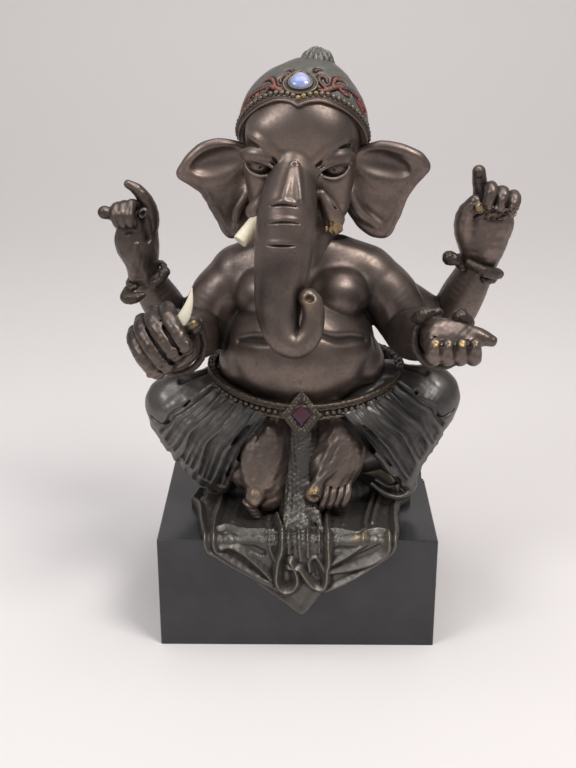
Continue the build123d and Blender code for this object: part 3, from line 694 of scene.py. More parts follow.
# ------------------------------------------------------------------ body and arms
ARMS = {"front_right_arm": ([(-28, 5, 98.5), (-35.0, 3.5, 91.5), (-40.0, 0.5, 81.5), (-43.4, -9, 78.0),
                             (-47.6, -22, 81.0), (-51.2, -35, 86.0)], [12.4, 12.4, 11.4, 10.6, 9.4, 8.0]),
        "front_left_arm": ([(33, 5, 98.5), (40.5, 3.5, 91.5), (46.5, 0.5, 81.5), (49.6, -9, 78.0),
                            (52.4, -22, 81.0), (54.8, -34, 86.0)], [12.6, 12.6, 11.6, 10.8, 9.6, 8.2]),
        "rear_right_arm": ([(-20, 15, 95), (-34, 19, 86), (-50, 22.5, 74.5), (-57.5, 22.5, 75.5),
                            (-63.0, 20, 85), (-69.4, 16, 98.5)], [11, 10.5, 9.8, 9.6, 9.2, 7.2]),
        "rear_left_arm": ([(26, 15, 95), (44, 19, 86), (62, 22.5, 75), (69.5, 22.5, 76), (74.6, 20, 87),
                           (80.6, 16, 102.5)], [11, 10.8, 10.2, 10.2, 9.9, 8.0]),}


MIDLINE = 1.8           # x of the body's middle
FRONT_SEAM = 31.5       # how far out each front arm joins the body
REAR_SEAM = 27.0
ARM_PARTING = 13.5      # y between the front and rear arms
SEAM_LIP = 3.0          # how far a casting's edge turns in at a joint


def sculpt_body():
    """Body and arms are one run of skin, parted at the shoulders."""
    clay = block(["torso", "front_right_arm", "front_left_arm", "rear_right_arm", "rear_left_arm"], 0.55, 3)
    clay.egg((1.0, -4.5, 71), (33.0, 30.0, 27.5), k=1)
    clay.egg((1.5, 8, 60), (37, 26.5, 20), k=6)
    clay.egg((1.5, 4, 97), (31, 17.5, 18), k=3)
    for side in (RIGHT, LEFT):
        clay.egg((MIDLINE + side * 15.5, -7.5, 96.5), (13.5, 12.0, 11.5), axes=spin(0, side * 12, 0), k=2.2)
        clay.egg((MIDLINE + side * 22, 12, 100), (13, 10, 12), k=5)
        clay.limb([(MIDLINE + side * 8, 3, 112), (MIDLINE + side * 28, 5, 104)], [10, 10.5], k=5)
        clay.egg((MIDLINE + side * 27.5, -3, 63), (9, 15, 9), k=5)
    for points, radii in ARMS.values():
        clay.limb(points, radii, k=3.4)
    clay.groove([(1.4, 25, 110), (1.4, 23.5, 96), (1.4, 27, 82), (1.4, 32, 68)], 3.2, k=3.5)
    for side in (RIGHT, LEFT):
        under = [(MIDLINE + side * x, z) for x, z in ((27, 79.0), (22, 81.0), (15, 82.2), (8.5, 84.5))]
        crease = [(x, clay.front(x, z) + 0.4, z) for x, z in under]
        clay.limb(crease, [0.6, 1.5, 1.5, 0.6], k=2.6, mode="cut")
    clay.egg((1.2, -36.0, 64.0), (1.6, 2.2, 1.9), k=1.6, mode="cut")
    for side in (RIGHT, LEFT):
        armpit = [(MIDLINE + side * 31.5, -11.5, 93), (MIDLINE + side * 33.0, -11.0, 85),
                  (MIDLINE + side * 34.0, -10.5, 76)]
        clay.limb(armpit, [1.4, 2.6, 2.2], k=3.5, mode="cut")
    clay.rough(0.07, 9, 11)
    return clay


def owner_of(spots):
    """Which casting each place on the skin belongs to: an arm's index in ARMS, or -1 for the trunk."""
    x, y, z = spots.T
    owner = np.full(len(spots), -1)
    for i, name in enumerate(ARMS):
        side = RIGHT if "right" in name else LEFT
        if name.startswith("front"):
            out = (side * (x - MIDLINE) - FRONT_SEAM) - 0.25 * (y - 5) - 0.3 * (z - 97)
            mine = (out > 0) & (y < ARM_PARTING)
        else:
            mine = (side * (x - MIDLINE) > REAR_SEAM) & (y >= ARM_PARTING)
        owner[mine] = i
    return owner


def part_body(clay):
    """Splits the one skin into its castings, each with a lip that turns in along the joint."""
    spots, quads, normals, layers = surface(clay)
    owner = owner_of(spots[quads].mean(1))
    for i, name in enumerate(["torso", *ARMS]):
        mine = quads[owner == i - 1]
        used, inverse = np.unique(mine, return_inverse=True)
        faces = inverse.reshape(mine.shape)
        sides = np.concatenate([faces[:, [a, (a + 1) % 4]] for a in range(4)])
        _, back, count = np.unique(np.sort(sides, 1), axis=0, return_index=True, return_counts=True)
        seam = sides[back[count == 1]]
        rim = np.unique(seam)
        ring = np.full(len(used), -1)
        ring[rim] = len(used) + np.arange(len(rim))
        deep = spots[used][rim] - normals[used][rim] * SEAM_LIP
        wall = np.stack([seam[:, 1], seam[:, 0], ring[seam[:, 0]], ring[seam[:, 1]]], 1)
        pick = np.concatenate([used, used[rim]])
        where = np.vstack([spots[used], deep])
        faces = np.vstack([faces, wall])
        parts = {label: values[pick] for label, values in layers.items()}
        pour(clay.home + where, faces, normals[pick], parts, name + "_sculpt", name, SKIN)


# ------------------------------------------------------------------ hands
def sculpt_fist():
    """Front right hand: four fingers closed round the broken tusk."""
    clay = block(["front_right_hand", "held_tusk"], 0.33, 8)
    clay.limb([(-50.2, -30, 84), (-51.5, -36, 86), (-53.0, -41, 88)], [7.6, 8.2, 9.0], k=2)
    clay.egg((-55.0, -43.5, 89.0), (12.4, 8.6, 10.6), axes=spin(0, -38, 0), k=3)
    clay.egg((-49.0, -45.0, 82.5), (9.2, 8.0, 7.4), axes=spin(0, -30, 0), k=3)
    fingers = [[(-52.5, -43, 99.8), (-51.0, -51.0, 98.6), (-47.6, -55.6, 93.8), (-44.6, -56.0, 88.8),
                (-44.2, -52, 86.6)], [(-58.2, -43, 98.4), (-57.0, -50.4, 97.0), (-52.8, -55.8, 92.0),
                                      (-48.6, -56.8, 86.4), (-47.8, -53, 84.2)],
               [(-62.8, -42, 94.6), (-61.8, -48.8, 93.0), (-57.6, -54.4, 87.4), (-52.8, -55.4, 81.2),
                (-51.8, -52, 79.4)], [(-66.0, -41, 89.4), (-65.2, -46.2, 87.8), (-61.4, -51.6, 82.4),
                                      (-57.0, -52.4, 77.4), (-56.0, -49.5, 76.0)],]
    for finger in fingers:
        clay.limb(finger, [3.4, 3.7, 3.6, 3.5, 3.0], k=0.8)
    for upper, lower in zip(fingers[:-1], fingers[1:]):
        gap = [(np.array(p) + np.array(q)) / 2 + (0, -2.6, 0) for p, q in zip(upper, lower)]
        clay.groove(gap[1:], 1.7, k=0.6)
    for x, y, z in ((-44.6, -59.0, 89.6), (-49.2, -60.0, 87.4), (-53.6, -58.4, 82.0), (-58.4, -55.4, 77.6)):
        clay.egg((x, y, z), (2.0, 0.8, 2.6), axes=spin(0, 38, 0), k=0.5)
    # thumb, whose tip shows beside the tusk
    clay.limb([(-46.0, -38, 90), (-42.8, -42, 92.8), (-41.6, -48, 94.0)], [5.0, 4.0, 3.0], k=1.5)
    clay.limb([(-45.5, -51, 94.0), (-42.0, -50.6, 96.4), (-40.0, -48.6, 96.0)], [1.6, 1.9, 1.5], k=1.4)
    clay.gild((-41.6, -51.0, 96.4), 2.0, 0.55)
    for x, y, z in ((-51.5, -54.5, 101.0), (-60.5, -55.5, 89.8), (-54.4, -59, 92.5), (-66.0, -49.5, 84.0)):
        clay.gild((x, y, z), 2.6, 0.3)
    clay.rough(0.10, 3.0, 21)
    return cast(clay, "front_right_hand_sculpt", "front_right_hand", SKIN)


def sculpt_open_palm():
    """Front left hand: palm up, with the fingers curled up towards the front."""
    clay = block("front_left_hand", 0.33, 6)
    clay.limb([(54.6, -30, 85), (57.0, -36, 86), (59.5, -42, 86)], [7.8, 7.8, 7.4], k=2)
    clay.egg((61.6, -47.5, 86.4), (11.2, 10.2, 5.6), k=3)
    for i, x in enumerate((53.4, 58.4, 63.7, 68.9)):
        reach = 0.6 * (1 - abs(i - 1.5))
        finger = [(x * 0.9 + 6.2, -48, 86.0), (x, -57.2, 85.0), (x - 0.2, -61.4 - reach, 87.0),
                  (x, -61.2 - reach, 91.8)]
        clay.limb(finger, [3.4, 3.2, 3.1, 2.5], k=0.9)
        clay.egg((x, -63.7 - reach, 90.4), (1.5, 0.8, 2.2), k=0.4)
        clay.gild((x, -63.8, 93.2), 1.5, 0.85 if i in (0, 2) else 0.3)
    for x in (55.9, 61.1, 66.3):
        clay.groove([(x, -58, 92), (x, -64.2, 91.6), (x, -65.6, 87.6), (x, -64.0, 83.6), (x, -58, 81.2)],
                    1.1, k=0.6)
    clay.limb([(65.0, -44, 89.0), (70.5, -46.4, 90.4), (74.6, -47.6, 89.6), (77.4, -48.0, 88.8)],
              [4.8, 3.9, 3.2, 2.4], k=2.2)
    clay.egg((60.2, -41.0, 90.4), (9.8, 7.4, 4.6), k=3)
    clay.egg((60.2, -50.5, 95.6), (8.4, 7.6, 5.0), k=2.6, mode="cut")
    clay.groove([(53.5, -49, 90.5), (59, -45.6, 89.2), (66, -45.5, 90.2)], 0.8, k=0.9)
    clay.groove([(54.5, -53, 90.4), (60, -50.4, 89.0), (67.5, -51.5, 90.0)], 0.8, k=0.9)
    clay.rough(0.08, 3.0, 22)
    return cast(clay, "front_left_hand_sculpt", "front_left_hand", SKIN)


def sculpt_rear_right_hand():
    """Raised hand with three folded fingers, and its separately cast bent finger."""
    clay = block(["rear_right_hand", "rear_right_finger"], 0.33, 5)
    clay.limb([(-68.6, 16.5, 96), (-69.8, 15.0, 103), (-70.6, 13.4, 110)], [7.0, 7.4, 8.4], k=2)
    clay.egg((-72.4, 11.6, 115.0), (8.6, 7.4, 9.6), k=4)
    clay.egg((-71.0, 10.8, 124.0), (7.6, 6.4, 7.0), k=4)
    clay.limb([(-66.6, 14, 108), (-65.4, 13, 116), (-65.2, 12, 123)], [3.4, 3.4, 3.4], k=3)
    for i, x in enumerate((-78.0, -75.0, -71.8)):
        rise = 0.6 * i
        finger = [(x + 1.2, 9, 129.4 + rise), (x - 0.2, 4.8, 130.8 + rise), (x - 0.6, 1.4, 128.2),
                  (x, 1.6, 125.0), (x + 0.2, 3.4, 123.4)]
        clay.limb(finger, [2.5, 2.4, 2.2, 2.0, 1.8], k=1.0)
    clay.limb([(-77.6, 9, 124.5), (-80.8, 6.2, 127.4), (-83.6, 4.2, 128.8)], [3.2, 2.6, 2.9], k=1.8)
    clay.groove([(-67.2, 5.4, 126), (-66.0, 5.2, 121.6), (-65.6, 6.6, 116.4)], 2.2, k=1.4)
    clay.egg((-67.0, 4.6, 128.4), (2.1, 1.8, 2.7), axes=spin(0, 40, 0), k=0.6)
    clay.egg((-67.0, 3.0, 128.4), (0.9, 1.4, 1.6), axes=spin(0, 40, 0), k=0.4, mode="cut")
    clay.egg((-70.4, 4.4, 114.6), (0.9, 0.8, 0.9), k=0.6)
    clay.groove([(-75, 4.6, 119.2), (-70, 3.8, 119.8), (-65.4, 5.0, 118.0)], 0.9, k=1.2)
    clay.rough(0.08, 3.0, 23)
    cast(clay, "rear_right_hand_sculpt", "rear_right_hand", SKIN)
    clay.clear()
    clay.limb([(-66.4, 11.6, 117), (-64.8, 11.6, 122), (-65.0, 11.2, 128), (-66.8, 10.2, 133.4),
               (-69.8, 9.4, 137.6), (-73.4, 8.8, 140.2)], [3.4, 3.8, 3.7, 3.2, 2.6, 1.9], k=1)
    clay.rough(0.07, 3.0, 24)
    return cast(clay, "rear_right_finger_sculpt", "rear_right_finger", SKIN)


def sculpt_rear_left_hand():
    """Raised hand with three folded fingers, and its separately cast pointing finger."""
    clay = block(["rear_left_hand", "rear_left_finger"], 0.33, 5)
    clay.limb([(80.0, 16.6, 98), (81.2, 15.0, 106), (82.4, 13.4, 113)], [7.6, 8.2, 9.4], k=2)
    clay.egg((83.2, 12.6, 122.0), (11.4, 7.6, 10.4), k=4)
    clay.limb([(75.4, 12, 112), (72.4, 9.6, 120), (72.4, 7.6, 127.6), (76.0, 5.6, 133.4)],
              [4.6, 4.4, 4.0, 3.2], k=2.6)
    for i in range(3):
        x, fall = 82.0 + 5.0 * i, 1.9 * i
        finger = [(x + 0.6, 10, 134.5 - fall), (x + 0.2, 5.4, 139.6 - fall), (x, 1.6, 138.6 - fall),
                  (x - 1.4, 0.8, 133.6 - fall)]
        clay.limb(finger, [2.9, 2.9, 2.8, 2.4], k=0.6)
        if i > 0:
            clay.egg((x - 0.9, -1.4, 136.4 - fall), (1.5, 0.7, 2.4), axes=spin(0, 14, 0), k=0.3)
    clay.egg((84.0, 2.6, 127.6), (9.2, 4.0, 3.6), axes=spin(0, 5, 0), k=1.4, mode="cut")
    clay.egg((77.4, 2.6, 131.6), (2.0, 1.8, 2.2), k=0.8)
    clay.gild((77.4, 1.6, 131.4), 1.9, 0.7)
    clay.gild((89.0, 2.0, 129.6), 2.6, 0.5)
    clay.rough(0.28, 2.0, 25, low=(74, -2, 126), high=(95, 7, 133))
    clay.rough(0.08, 3.0, 26)
    cast(clay, "rear_left_hand_sculpt", "rear_left_hand", SKIN)
    clay.clear()
    clay.limb([(78.8, 11.4, 129), (79.0, 10.8, 136), (78.0, 10.0, 141.4), (77.4, 9.6, 145.6)],
              [4.4, 3.5, 3.2, 2.9], k=1)
    clay.groove([(75.0, 8.0, 140.8), (78.0, 6.4, 140.6), (81.0, 8.2, 140.4)], 0.45, k=0.6)
    clay.egg((77.3, 6.7, 145.4), (1.5, 0.6, 2.0), k=0.3)
    clay.gild((77.3, 8.0, 148.4), 1.2, 0.35)
    return cast(clay, "rear_left_finger_sculpt", "rear_left_finger", SKIN)


# ------------------------------------------------------------------ bangles and tusks
def ring_points(centre, axis, radius, start, end, count=14):
    """Points round a ring from one angle to another, in degrees from its own x axis."""
    m = frame_of(axis)
    turns = np.radians(np.linspace(start, end, count))
    return [np.asarray(centre) + radius * (math.cos(t) * m[0] + math.sin(t) * m[1]) for t in turns]


def sculpt_bangle(node, centre, axis, radius, start, end, tube, knobs):
    """An open ring with ornamental ends. knobs holds the points and radii of each end."""
    clay = block(node, 0.28, 5)
    clay.limb(ring_points(centre, axis, radius, start, end), tube, k=0.6, spans=3)
    for points, radii in knobs:
        clay.limb(points, radii, k=1.2)
    clay.rough(0.10, 2.4, 31)
    return cast(clay, node + "_sculpt", node, ORNAMENT)


def sculpt_bangles():
    sculpt_bangle("front_right_bangle", (-50.8, -36.0, 83.4), (-0.2, -0.9, 0.16), 12.8, 0, 360, 1.5,
                  [([(-41.0, -38.5, 90.5), (-39.4, -40.0, 94.0)], [2.2, 1.3])])
    sculpt_bangle("front_left_bangle", (58.8, -36.0, 85.3), (0.25, -0.93, 0.2), 11.6, 95, 390, 1.5,
                  [([(47.4, -39.0, 95.0), (50.4, -42.0, 97.6), (54.6, -42.6, 99.8)], [1.8, 3.0, 0.7]),
                   ([(69.8, -36.0, 89.4), (68.6, -38.0, 93.0), (65.9, -39.0, 95.6)], [2.2, 3.2, 3.7])])
    sculpt_bangle("rear_right_bangle", (-68.3, 16, 97.5), (-0.42, -0.2, 0.88), 8.9, -60, 235, 1.5,
                  [([(-75.8, 9.6, 92.0), (-76.2, 5.6, 90.2), (-72.4, 4.2, 90.4), (-68.8, 4.6, 91.6)],
                    [2.4, 2.8, 2.6, 1.4]), ([(-61.6, 10.4, 98.6), (-63.6, 6.2, 96.4), (-60.8, 5.6, 98.2),
                                             (-58.8, 7.2, 101.4)], [1.9, 2.4, 1.6, 2.4])])
    sculpt_bangle("rear_left_bangle", (79.5, 16, 101.0), (0.38, -0.2, 0.9), 9.3, -70, 215, 1.7,
                  [([(71.8, 12.0, 104.6), (69.6, 9.0, 106.6), (66.6, 9.0, 107.6)], [2.0, 2.4, 3.3]),
                   ([(74.8, 5.6, 106.4), (80.4, 3.6, 103.6), (86.0, 6.4, 101.4), (88.6, 9.0, 100.4)],
                    [1.8, 2.4, 2.6, 2.4])])


def sculpt_tusks():
    """The broken tusk in the fist, and the sawn-off stub at the mouth."""
    clay = block("held_tusk", 0.25, 4)
    clay.limb([(-47.6, -49.0, 93.5), (-46.0, -50.2, 97.5), (-43.8, -50.8, 102.2), (-42.4, -50.8, 106.6),
               (-41.6, -50.6, 111.0)], [3.1, 2.7, 2.0, 1.2, 0.3], k=0.5)
    cast(clay, "held_tusk_sculpt", "held_tusk", TUSK)
    clay = block("mouth_tusk", 0.25, 4)
    root, end = np.array([-12.0, -18.6, 136.4]), np.array([-23.8, -27.2, 123.8])
    run = unit(end - root)
    clay.limb([root - run * 3, root, end + run * 6], [3.5, 3.4, 3.1], k=0.4)
    clay.slab(end, run, k=0.5)
    clay.rough(0.05, 2.0, 33)
    return cast(clay, "mouth_tusk_sculpt", "mouth_tusk", TUSK)


# ------------------------------------------------------------------ crown
CAP = np.array([2.0, 1.0, 165.5])
CAP_R = 27.0
RIM_AXIS = unit((0.06, 0.61, 0.79))
RIM_DROP = 6.1
RIM = CAP - RIM_AXIS * RIM_DROP
RIM_RADIUS = math.sqrt(CAP_R**2 - RIM_DROP**2)
GEM_NORMAL = unit((-0.05, -0.67, 0.74))
GEM_ACROSS = unit(np.cross((0, 0, 1), GEM_NORMAL))
GEM_AXES = np.array([GEM_ACROSS, np.cross(GEM_NORMAL, GEM_ACROSS), GEM_NORMAL])


def on_dome(azimuth, height, out=0.0):
    """A point over the dome: azimuth in degrees from the front towards +X, height in degrees."""
    a, e = math.radians(azimuth), math.radians(height)
    way = np.array([math.sin(a) * math.cos(e), -math.cos(a) * math.cos(e), math.sin(e)])
    return CAP + way * (CAP_R + out)


def rim_points(radius, lift, count=72):
    """A closed run along the brow line, with a notch over the forehead and an arch on each side."""
    m = frame_of(RIM_AXIS)
    points = []
    for turn in np.linspace(0, 2 * math.pi, count + 1):
        way = math.cos(turn) * m[0] + math.sin(turn) * m[1]
        off = abs(math.degrees(math.atan2(way[0] + 0.07, -way[1])))
        if off < 24:
            rise = 2.8 * (off / 24) ** 0.75 - 0.9 * max(0.0, 1 - off / 9)
        else:
            rise = 2.8 * max(0.0, math.cos(math.radians((off - 24) * 1.35))) ** 1.3 if off < 90 else 0.0
        rise += 2.2 * max(0.0, math.cos(math.radians(off * 0.8)))
        points.append(RIM + way * radius + RIM_AXIS * (lift + rise))
    return points


# Flame-like leaf scrolls, each a run of (azimuth, height) with its half widths.
SCROLLS = [
    ([(17, 41), (24, 40), (34, 42), (46, 42.5), (57, 39)], [0.7, 1.3, 1.4, 1.2, 0.5]),
    ([(27, 41), (24, 45), (21, 50), (24, 55), (30, 56), (34, 52), (31, 48.5)],
     [0.9, 0.8, 0.8, 1.0, 1.2, 1.1, 0.6]),
    ([(36, 43), (42, 48), (50, 51), (58, 49), (63, 44)], [0.9, 1.0, 1.0, 0.8, 0.4]),
    ([(44, 42), (47, 36), (53, 33), (58, 36)], [0.8, 0.9, 0.8, 0.4]),
    ([(60, 38), (68, 32), (75, 23), (76, 14), (70, 15), (66, 23), (62, 31)],
     [0.6, 1.1, 1.2, 0.9, 0.8, 0.8, 0.5]),
    ([(69, 27), (71, 21)], [0.8, 0.6]),
    ([(20, 62), (27, 65), (36, 64)], [0.4, 0.8, 0.4]),
]
SCROLL_WIDTH = 0.72


def sculpt_crown():
    """The dome with its sunk scrolls, then the enamel, topknot, rim and stone."""
    clay = block(["crown_cap", "crown_knob"], 0.36, 4)
    clay.egg(CAP, (CAP_R, CAP_R, CAP_R), k=1)
    clay.egg((6.2, 3.6, 181.0), (13.0, 13.0, 12.0), axes=spin(0, 14, 0), k=5)
    clay.slab(RIM + RIM_AXIS * 2.6, -RIM_AXIS, k=0.4)
    clay.limb(rim_points(RIM_RADIUS + 0.7, -1.7), 2.6, k=0.3, mode="cut", spans=2)
    for side in (RIGHT, LEFT):
        for run, widths in SCROLLS:
            path = [on_dome(side * a, e, 0.1) for a, e in run]
            clay.limb(path, np.array(widths) * SCROLL_WIDTH + 0.6, k=0.4, mode="cut", spans=4)
    clay.groove(oval_points(8.3, 6.2, -0.2), 0.9, k=0.5)
    clay.rough(0.10, 5, 41)
    cast(clay, "crown_cap_sculpt", "crown_cap", CROWN)
    for side, node in ((RIGHT, "crown_enamel_right"), (LEFT, "crown_enamel_left")):
        clay.clear()
        for run, widths in SCROLLS:
            path = [on_dome(side * a, e, -0.25) for a, e in run]
            clay.limb(path, np.array(widths) * SCROLL_WIDTH, k=0.3, spans=4)
        clay.rough(0.12, 1.6, 42)
        cast(clay, node + "_sculpt", node, ENAMEL)
    sculpt_knob()
    sculpt_rim()
    sculpt_gem()


def sculpt_knob():
    """The topknot: a bound tuft with deep strands."""
    clay = block("crown_knob", 0.28, 4)
    base, top = np.array([7.4, 5.0, 186.6]), np.array([7.2, 5.0, 196.6])
    clay.egg(base + (0, 0, 3.6), (5.9, 5.6, 6.4), k=1)
    strands = 15
    for i in range(strands):
        turn = 2 * math.pi * i / strands
        out = np.array([math.cos(turn), math.sin(turn), 0])
        lean = 0.35 * math.sin(5.1 * i)
        run = [base + out * 5.9 + (0, 0, -1), base + out * 6.3 + (0, 0, 3.2),
               base + out * (5.0 + lean) + (0, 0, 7.8), top + out * 1.8 + (0, 0, lean)]
        clay.limb(run, [1.1, 1.25, 1.1, 0.7], k=0.35, spans=4)
    clay.limb(ring_points(base + (0, 0, 0.6), (0, 0, 1), 6.3, 0, 360), 0.9, k=0.5, spans=3)
    clay.rough(0.12, 1.8, 43)
    return cast(clay, "crown_knob_sculpt", "crown_knob", CROWN)


def sculpt_rim():
    """The double band along the brow, and the row of beads above it."""
    clay = block("crown_rim", 0.36, 5)
    clay.limb(rim_points(RIM_RADIUS - 1.2, 0.5), 1.5, k=0.5, spans=2)
    clay.limb(rim_points(RIM_RADIUS + 0.0, -0.5), 0.6, k=0.3, spans=2)
    clay.limb(rim_points(RIM_RADIUS + 0.3, 1.2), 0.5, k=0.3, spans=2)
    clay.groove(rim_points(RIM_RADIUS + 0.7, 0.4), 0.6, k=0.3)
    cast(clay, "crown_rim_sculpt", "crown_rim", SKIN)
    path, _ = flow(rim_points(RIM_RADIUS + 0.7, 2.2), 1.0, 4)
    bead_row("crown_beads_sculpt", "crown_beads", path, 1.3, 2.45, RIM, rng_seed=7, bright=(0.8, -24, 177))


def bead_row(name, node, path, radius, pitch, hub, rng_seed, skip=None, bright=None):
    """A row of slightly uneven cast beads along a closed run."""
    rng = np.random.default_rng(rng_seed)
    path = np.asarray(path)
    step = np.linalg.norm(np.diff(path, axis=0), axis=1)
    length = np.append(0, np.cumsum(step))
    count = round(length[-1] / pitch)
    at = (np.arange(count) + 0.5) * length[-1] / count
    spots = np.stack([np.interp(at, length, path[:, n]) for n in range(3)], 1)
    ball = bmesh.new()
    bmesh.ops.create_icosphere(ball, subdivisions=3, radius=1.0)
    shape = np.array([v.co[:] for v in ball.verts])
    faces = np.array([[v.index for v in f.verts] for f in ball.faces])
    ball.free()
    verts, quads, edge, gilt = [], [], [], []
    for spot in spots:
        if skip is not None and skip(spot):
            continue
        size = radius * rng.uniform(0.92, 1.05, 3)
        dent = 1 + 0.03 * np.sin(shape @ rng.uniform(2, 5, 3) + rng.uniform(0, 6))
        quads.append(faces + len(verts) * len(shape))
        verts.append(spot + shape * size * dent[:, None] + rng.normal(0, 0.05, 3))
        out = unit((spot - hub) * (1, 1, 0.6))
        # Painted shade on the beads: the outward side counts as a worn edge, and the inner side, towards the
        # hub, as a crease and a hollow, which the patina darkens as painted shade.
        edge.append(0.35 * (shape @ out) + 0.05)
        near = 0.0 if bright is None else math.exp(-(np.linalg.norm(spot - bright) / 11) ** 2)
        gilt.append(np.clip((shape @ out) * 0.9 * near * rng.uniform(0.3, 1.1), 0, 1))
    place = (np.vstack(verts) + DATUM) * MM
    piece = mesh_piece(name, place, np.vstack(quads), BEAD)
    edge = np.concatenate(edge)
    for label, values in (("edge", edge), ("broad", edge * 0.6), ("gilt", np.concatenate(gilt))):
        layer = piece.data.attributes.new(label, "FLOAT", "POINT")
        layer.data.foreach_set("value", values.astype(np.float32))
    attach(piece, "root")
    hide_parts(node)
    return piece


def oval_points(a, b, out, point=0.0, count=24):
    """An oval round the crown gem. point draws its top out into a teardrop."""
    x = unit(np.cross((0, 0, 1), GEM_NORMAL)) * -1
    up = np.cross(GEM_NORMAL, x)
    if up[2] < 0:
        up = -up
    centre = CAP + GEM_NORMAL * (CAP_R + out)
    points = []
    for turn in np.linspace(0, 2 * math.pi, count + 1):
        high = math.cos(turn)
        draw = 1 + point * max(0.0, high) ** 6
        points.append(centre + x * a * math.sin(turn) * (1 - 0.12 * point * high) + up * b * high * draw)
    return points


def sculpt_gem():
    """The teardrop opal in its two-ridged bezel."""
    clay = block(["crown_bezel", "crown_gem"], 0.25, 5)
    clay.egg(CAP + GEM_NORMAL * (CAP_R - 1.2), (7.2, 5.4, 2.4), axes=GEM_AXES)
    clay.limb(oval_points(6.7, 5.0, 0.0, 0.3), 0.6, k=0.3, spans=2)
    clay.limb(oval_points(4.6, 3.7, 0.8, 0.5), 0.6, k=0.3, spans=2)
    clay.groove(oval_points(5.6, 4.3, 0.9, 0.4), 0.7, k=0.3)
    cast(clay, "crown_bezel_sculpt", "crown_bezel", BEAD)
    clay.clear()
    above = GEM_AXES[1] * (2.0 if GEM_AXES[1][2] > 0 else -2.0)
    heart = CAP + GEM_NORMAL * (CAP_R + 0.6)
    clay.egg(heart, (4.3, 3.4, 1.9), axes=GEM_AXES, k=0.5)
    clay.egg(heart + above, (2.6, 3.0, 1.4), axes=GEM_AXES, k=1.2)
    return cast(clay, "crown_gem_sculpt", "crown_gem", OPAL)


# ------------------------------------------------------------------ belt
BELT = np.array([3.5, 2.0, 54.5])
BELT_A, BELT_B = 43.0, 36.0
BELT_X = np.array([1.0, 0, 0])
BELT_Y = np.array([0, math.cos(math.radians(5)), math.sin(math.radians(5))])
BELT_UP = np.cross(BELT_X, BELT_Y)
BELT_RISE = 4.0
BUCKLE = np.array([1.6, -34.2, 50.5])
BUCKLE_OUT = unit((0, -0.93, 0.37))
BUCKLE_UP = np.cross(BUCKLE_OUT, (-1.0, 0, 0))


def belt_points(out, lift, count=60):
    """A closed run round the hips, which rises at the sides."""
    turns = np.linspace(0, 2 * math.pi, count + 1)
    return [BELT + BELT_X * (BELT_A + out) * math.cos(t) + BELT_Y * (BELT_B + out) * math.sin(t)
            + BELT_UP * (lift + BELT_RISE * math.cos(t) ** 2) for t in turns]


def sculpt_belt():
    clay = block("belt_band", 0.42, 4)
    for lift, size in ((2.0, 1.5), (0.2, 1.4), (-2.0, 1.4)):
        clay.limb(belt_points(-1.2, lift), size, k=1.0, spans=2)
    clay.limb(belt_points(0.2, 3.0), 0.85, k=0.4, spans=2)
    clay.limb(belt_points(0.4, 1.5), 0.6, k=0.4, spans=2)
    clay.limb(belt_points(0.3, -2.7), 0.75, k=0.4, spans=2)
    clay.groove(belt_points(0.4, -0.6), 1.9, k=0.5)
    clay.rough(0.12, 2.2, 51)
    cast(clay, "belt_band_sculpt", "belt_band", ORNAMENT)
    bead_row("belt_beads_sculpt", "belt_beads", belt_points(0.1, -0.5, 180), 1.2, 2.75, BELT, rng_seed=9,
             skip=lambda spot: spot[1] < 0 and abs(spot[0] - 1.6) < 8.5)
    sculpt_buckle()


def buckle_spot(x, z, out=0.0):
    return BUCKLE + np.array([x, 0, 0]) + BUCKLE_UP * z * (1 if BUCKLE_UP[2] > 0 else -1) + BUCKLE_OUT * out


def sculpt_buckle():
    clay = block(["buckle_frame", "buckle_gem"], 0.25, 5)
    corners4 = [(0, 9.6), (7.6, 0), (0, -9.6), (-7.6, 0)]
    inner4 = [(0, 6.6), (5.0, 0), (0, -6.6), (-5.0, 0)]
    for i in range(4):
        a, b = corners4[i], corners4[(i + 1) % 4]
        clay.limb([buckle_spot(*a, 1.0), buckle_spot(*b, 1.0)], 0.95, k=0.4)
        clay.limb([buckle_spot(*(np.array(a) * 0.84), 0.2), buckle_spot(*(np.array(b) * 0.84), 0.2)], 1.7,
                  k=0.6)
        c, d = inner4[i], inner4[(i + 1) % 4]
        clay.limb([buckle_spot(*c, 1.2), buckle_spot(*d, 1.2)], 0.6, k=0.3)
        for t in (0.18, 0.34, 0.5, 0.66, 0.82):
            spot = np.array(a) * 0.83 * (1 - t) + np.array(b) * 0.83 * t
            clay.egg(buckle_spot(*spot, 1.7), 0.85, k=0.25)
    clay.rough(0.08, 1.6, 52)
    cast(clay, "buckle_frame_sculpt", "buckle_frame", BEAD)
    # a low faceted stone: four sides that rise to a short upright ridge
    rim = [(0, 6.2), (4.6, 0), (0, -6.2), (-4.6, 0)]
    verts = [buckle_spot(x, z, 0.2) for x, z in rim] + [buckle_spot(x * 0.9, z * 0.9, 1.4) for x, z in rim]
    verts += [buckle_spot(0, 3.4, 2.9), buckle_spot(0, -3.4, 2.9), buckle_spot(0, 0, 0.1)]
    faces = [(0, 1, 5, 4), (1, 2, 6, 5), (2, 3, 7, 6), (3, 0, 4, 7), (4, 5, 8), (5, 6, 9), (5, 9, 8),
             (6, 7, 9), (7, 4, 8), (7, 8, 9), (10, 1, 0), (10, 2, 1), (10, 3, 2), (10, 0, 3)]
    gem = mesh_piece("buckle_gem_sculpt", (np.array(verts) + DATUM) * MM, faces, GARNET, smooth=False)
    soften(gem, 0.16)
    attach(gem, "root")
    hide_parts("buckle_gem")


def soften(piece, width, segments=2):
    """Rounds a mesh's edges by a width in millimetres."""
    bm = bmesh.new()
    bm.from_mesh(piece.data)
    bmesh.ops.recalc_face_normals(bm, faces=bm.faces)
    bmesh.ops.bevel(bm, geom=bm.edges[:], offset=width * MM, segments=segments, profile=0.6, affect="EDGES")
    bm.to_mesh(piece.data)
    bm.free()


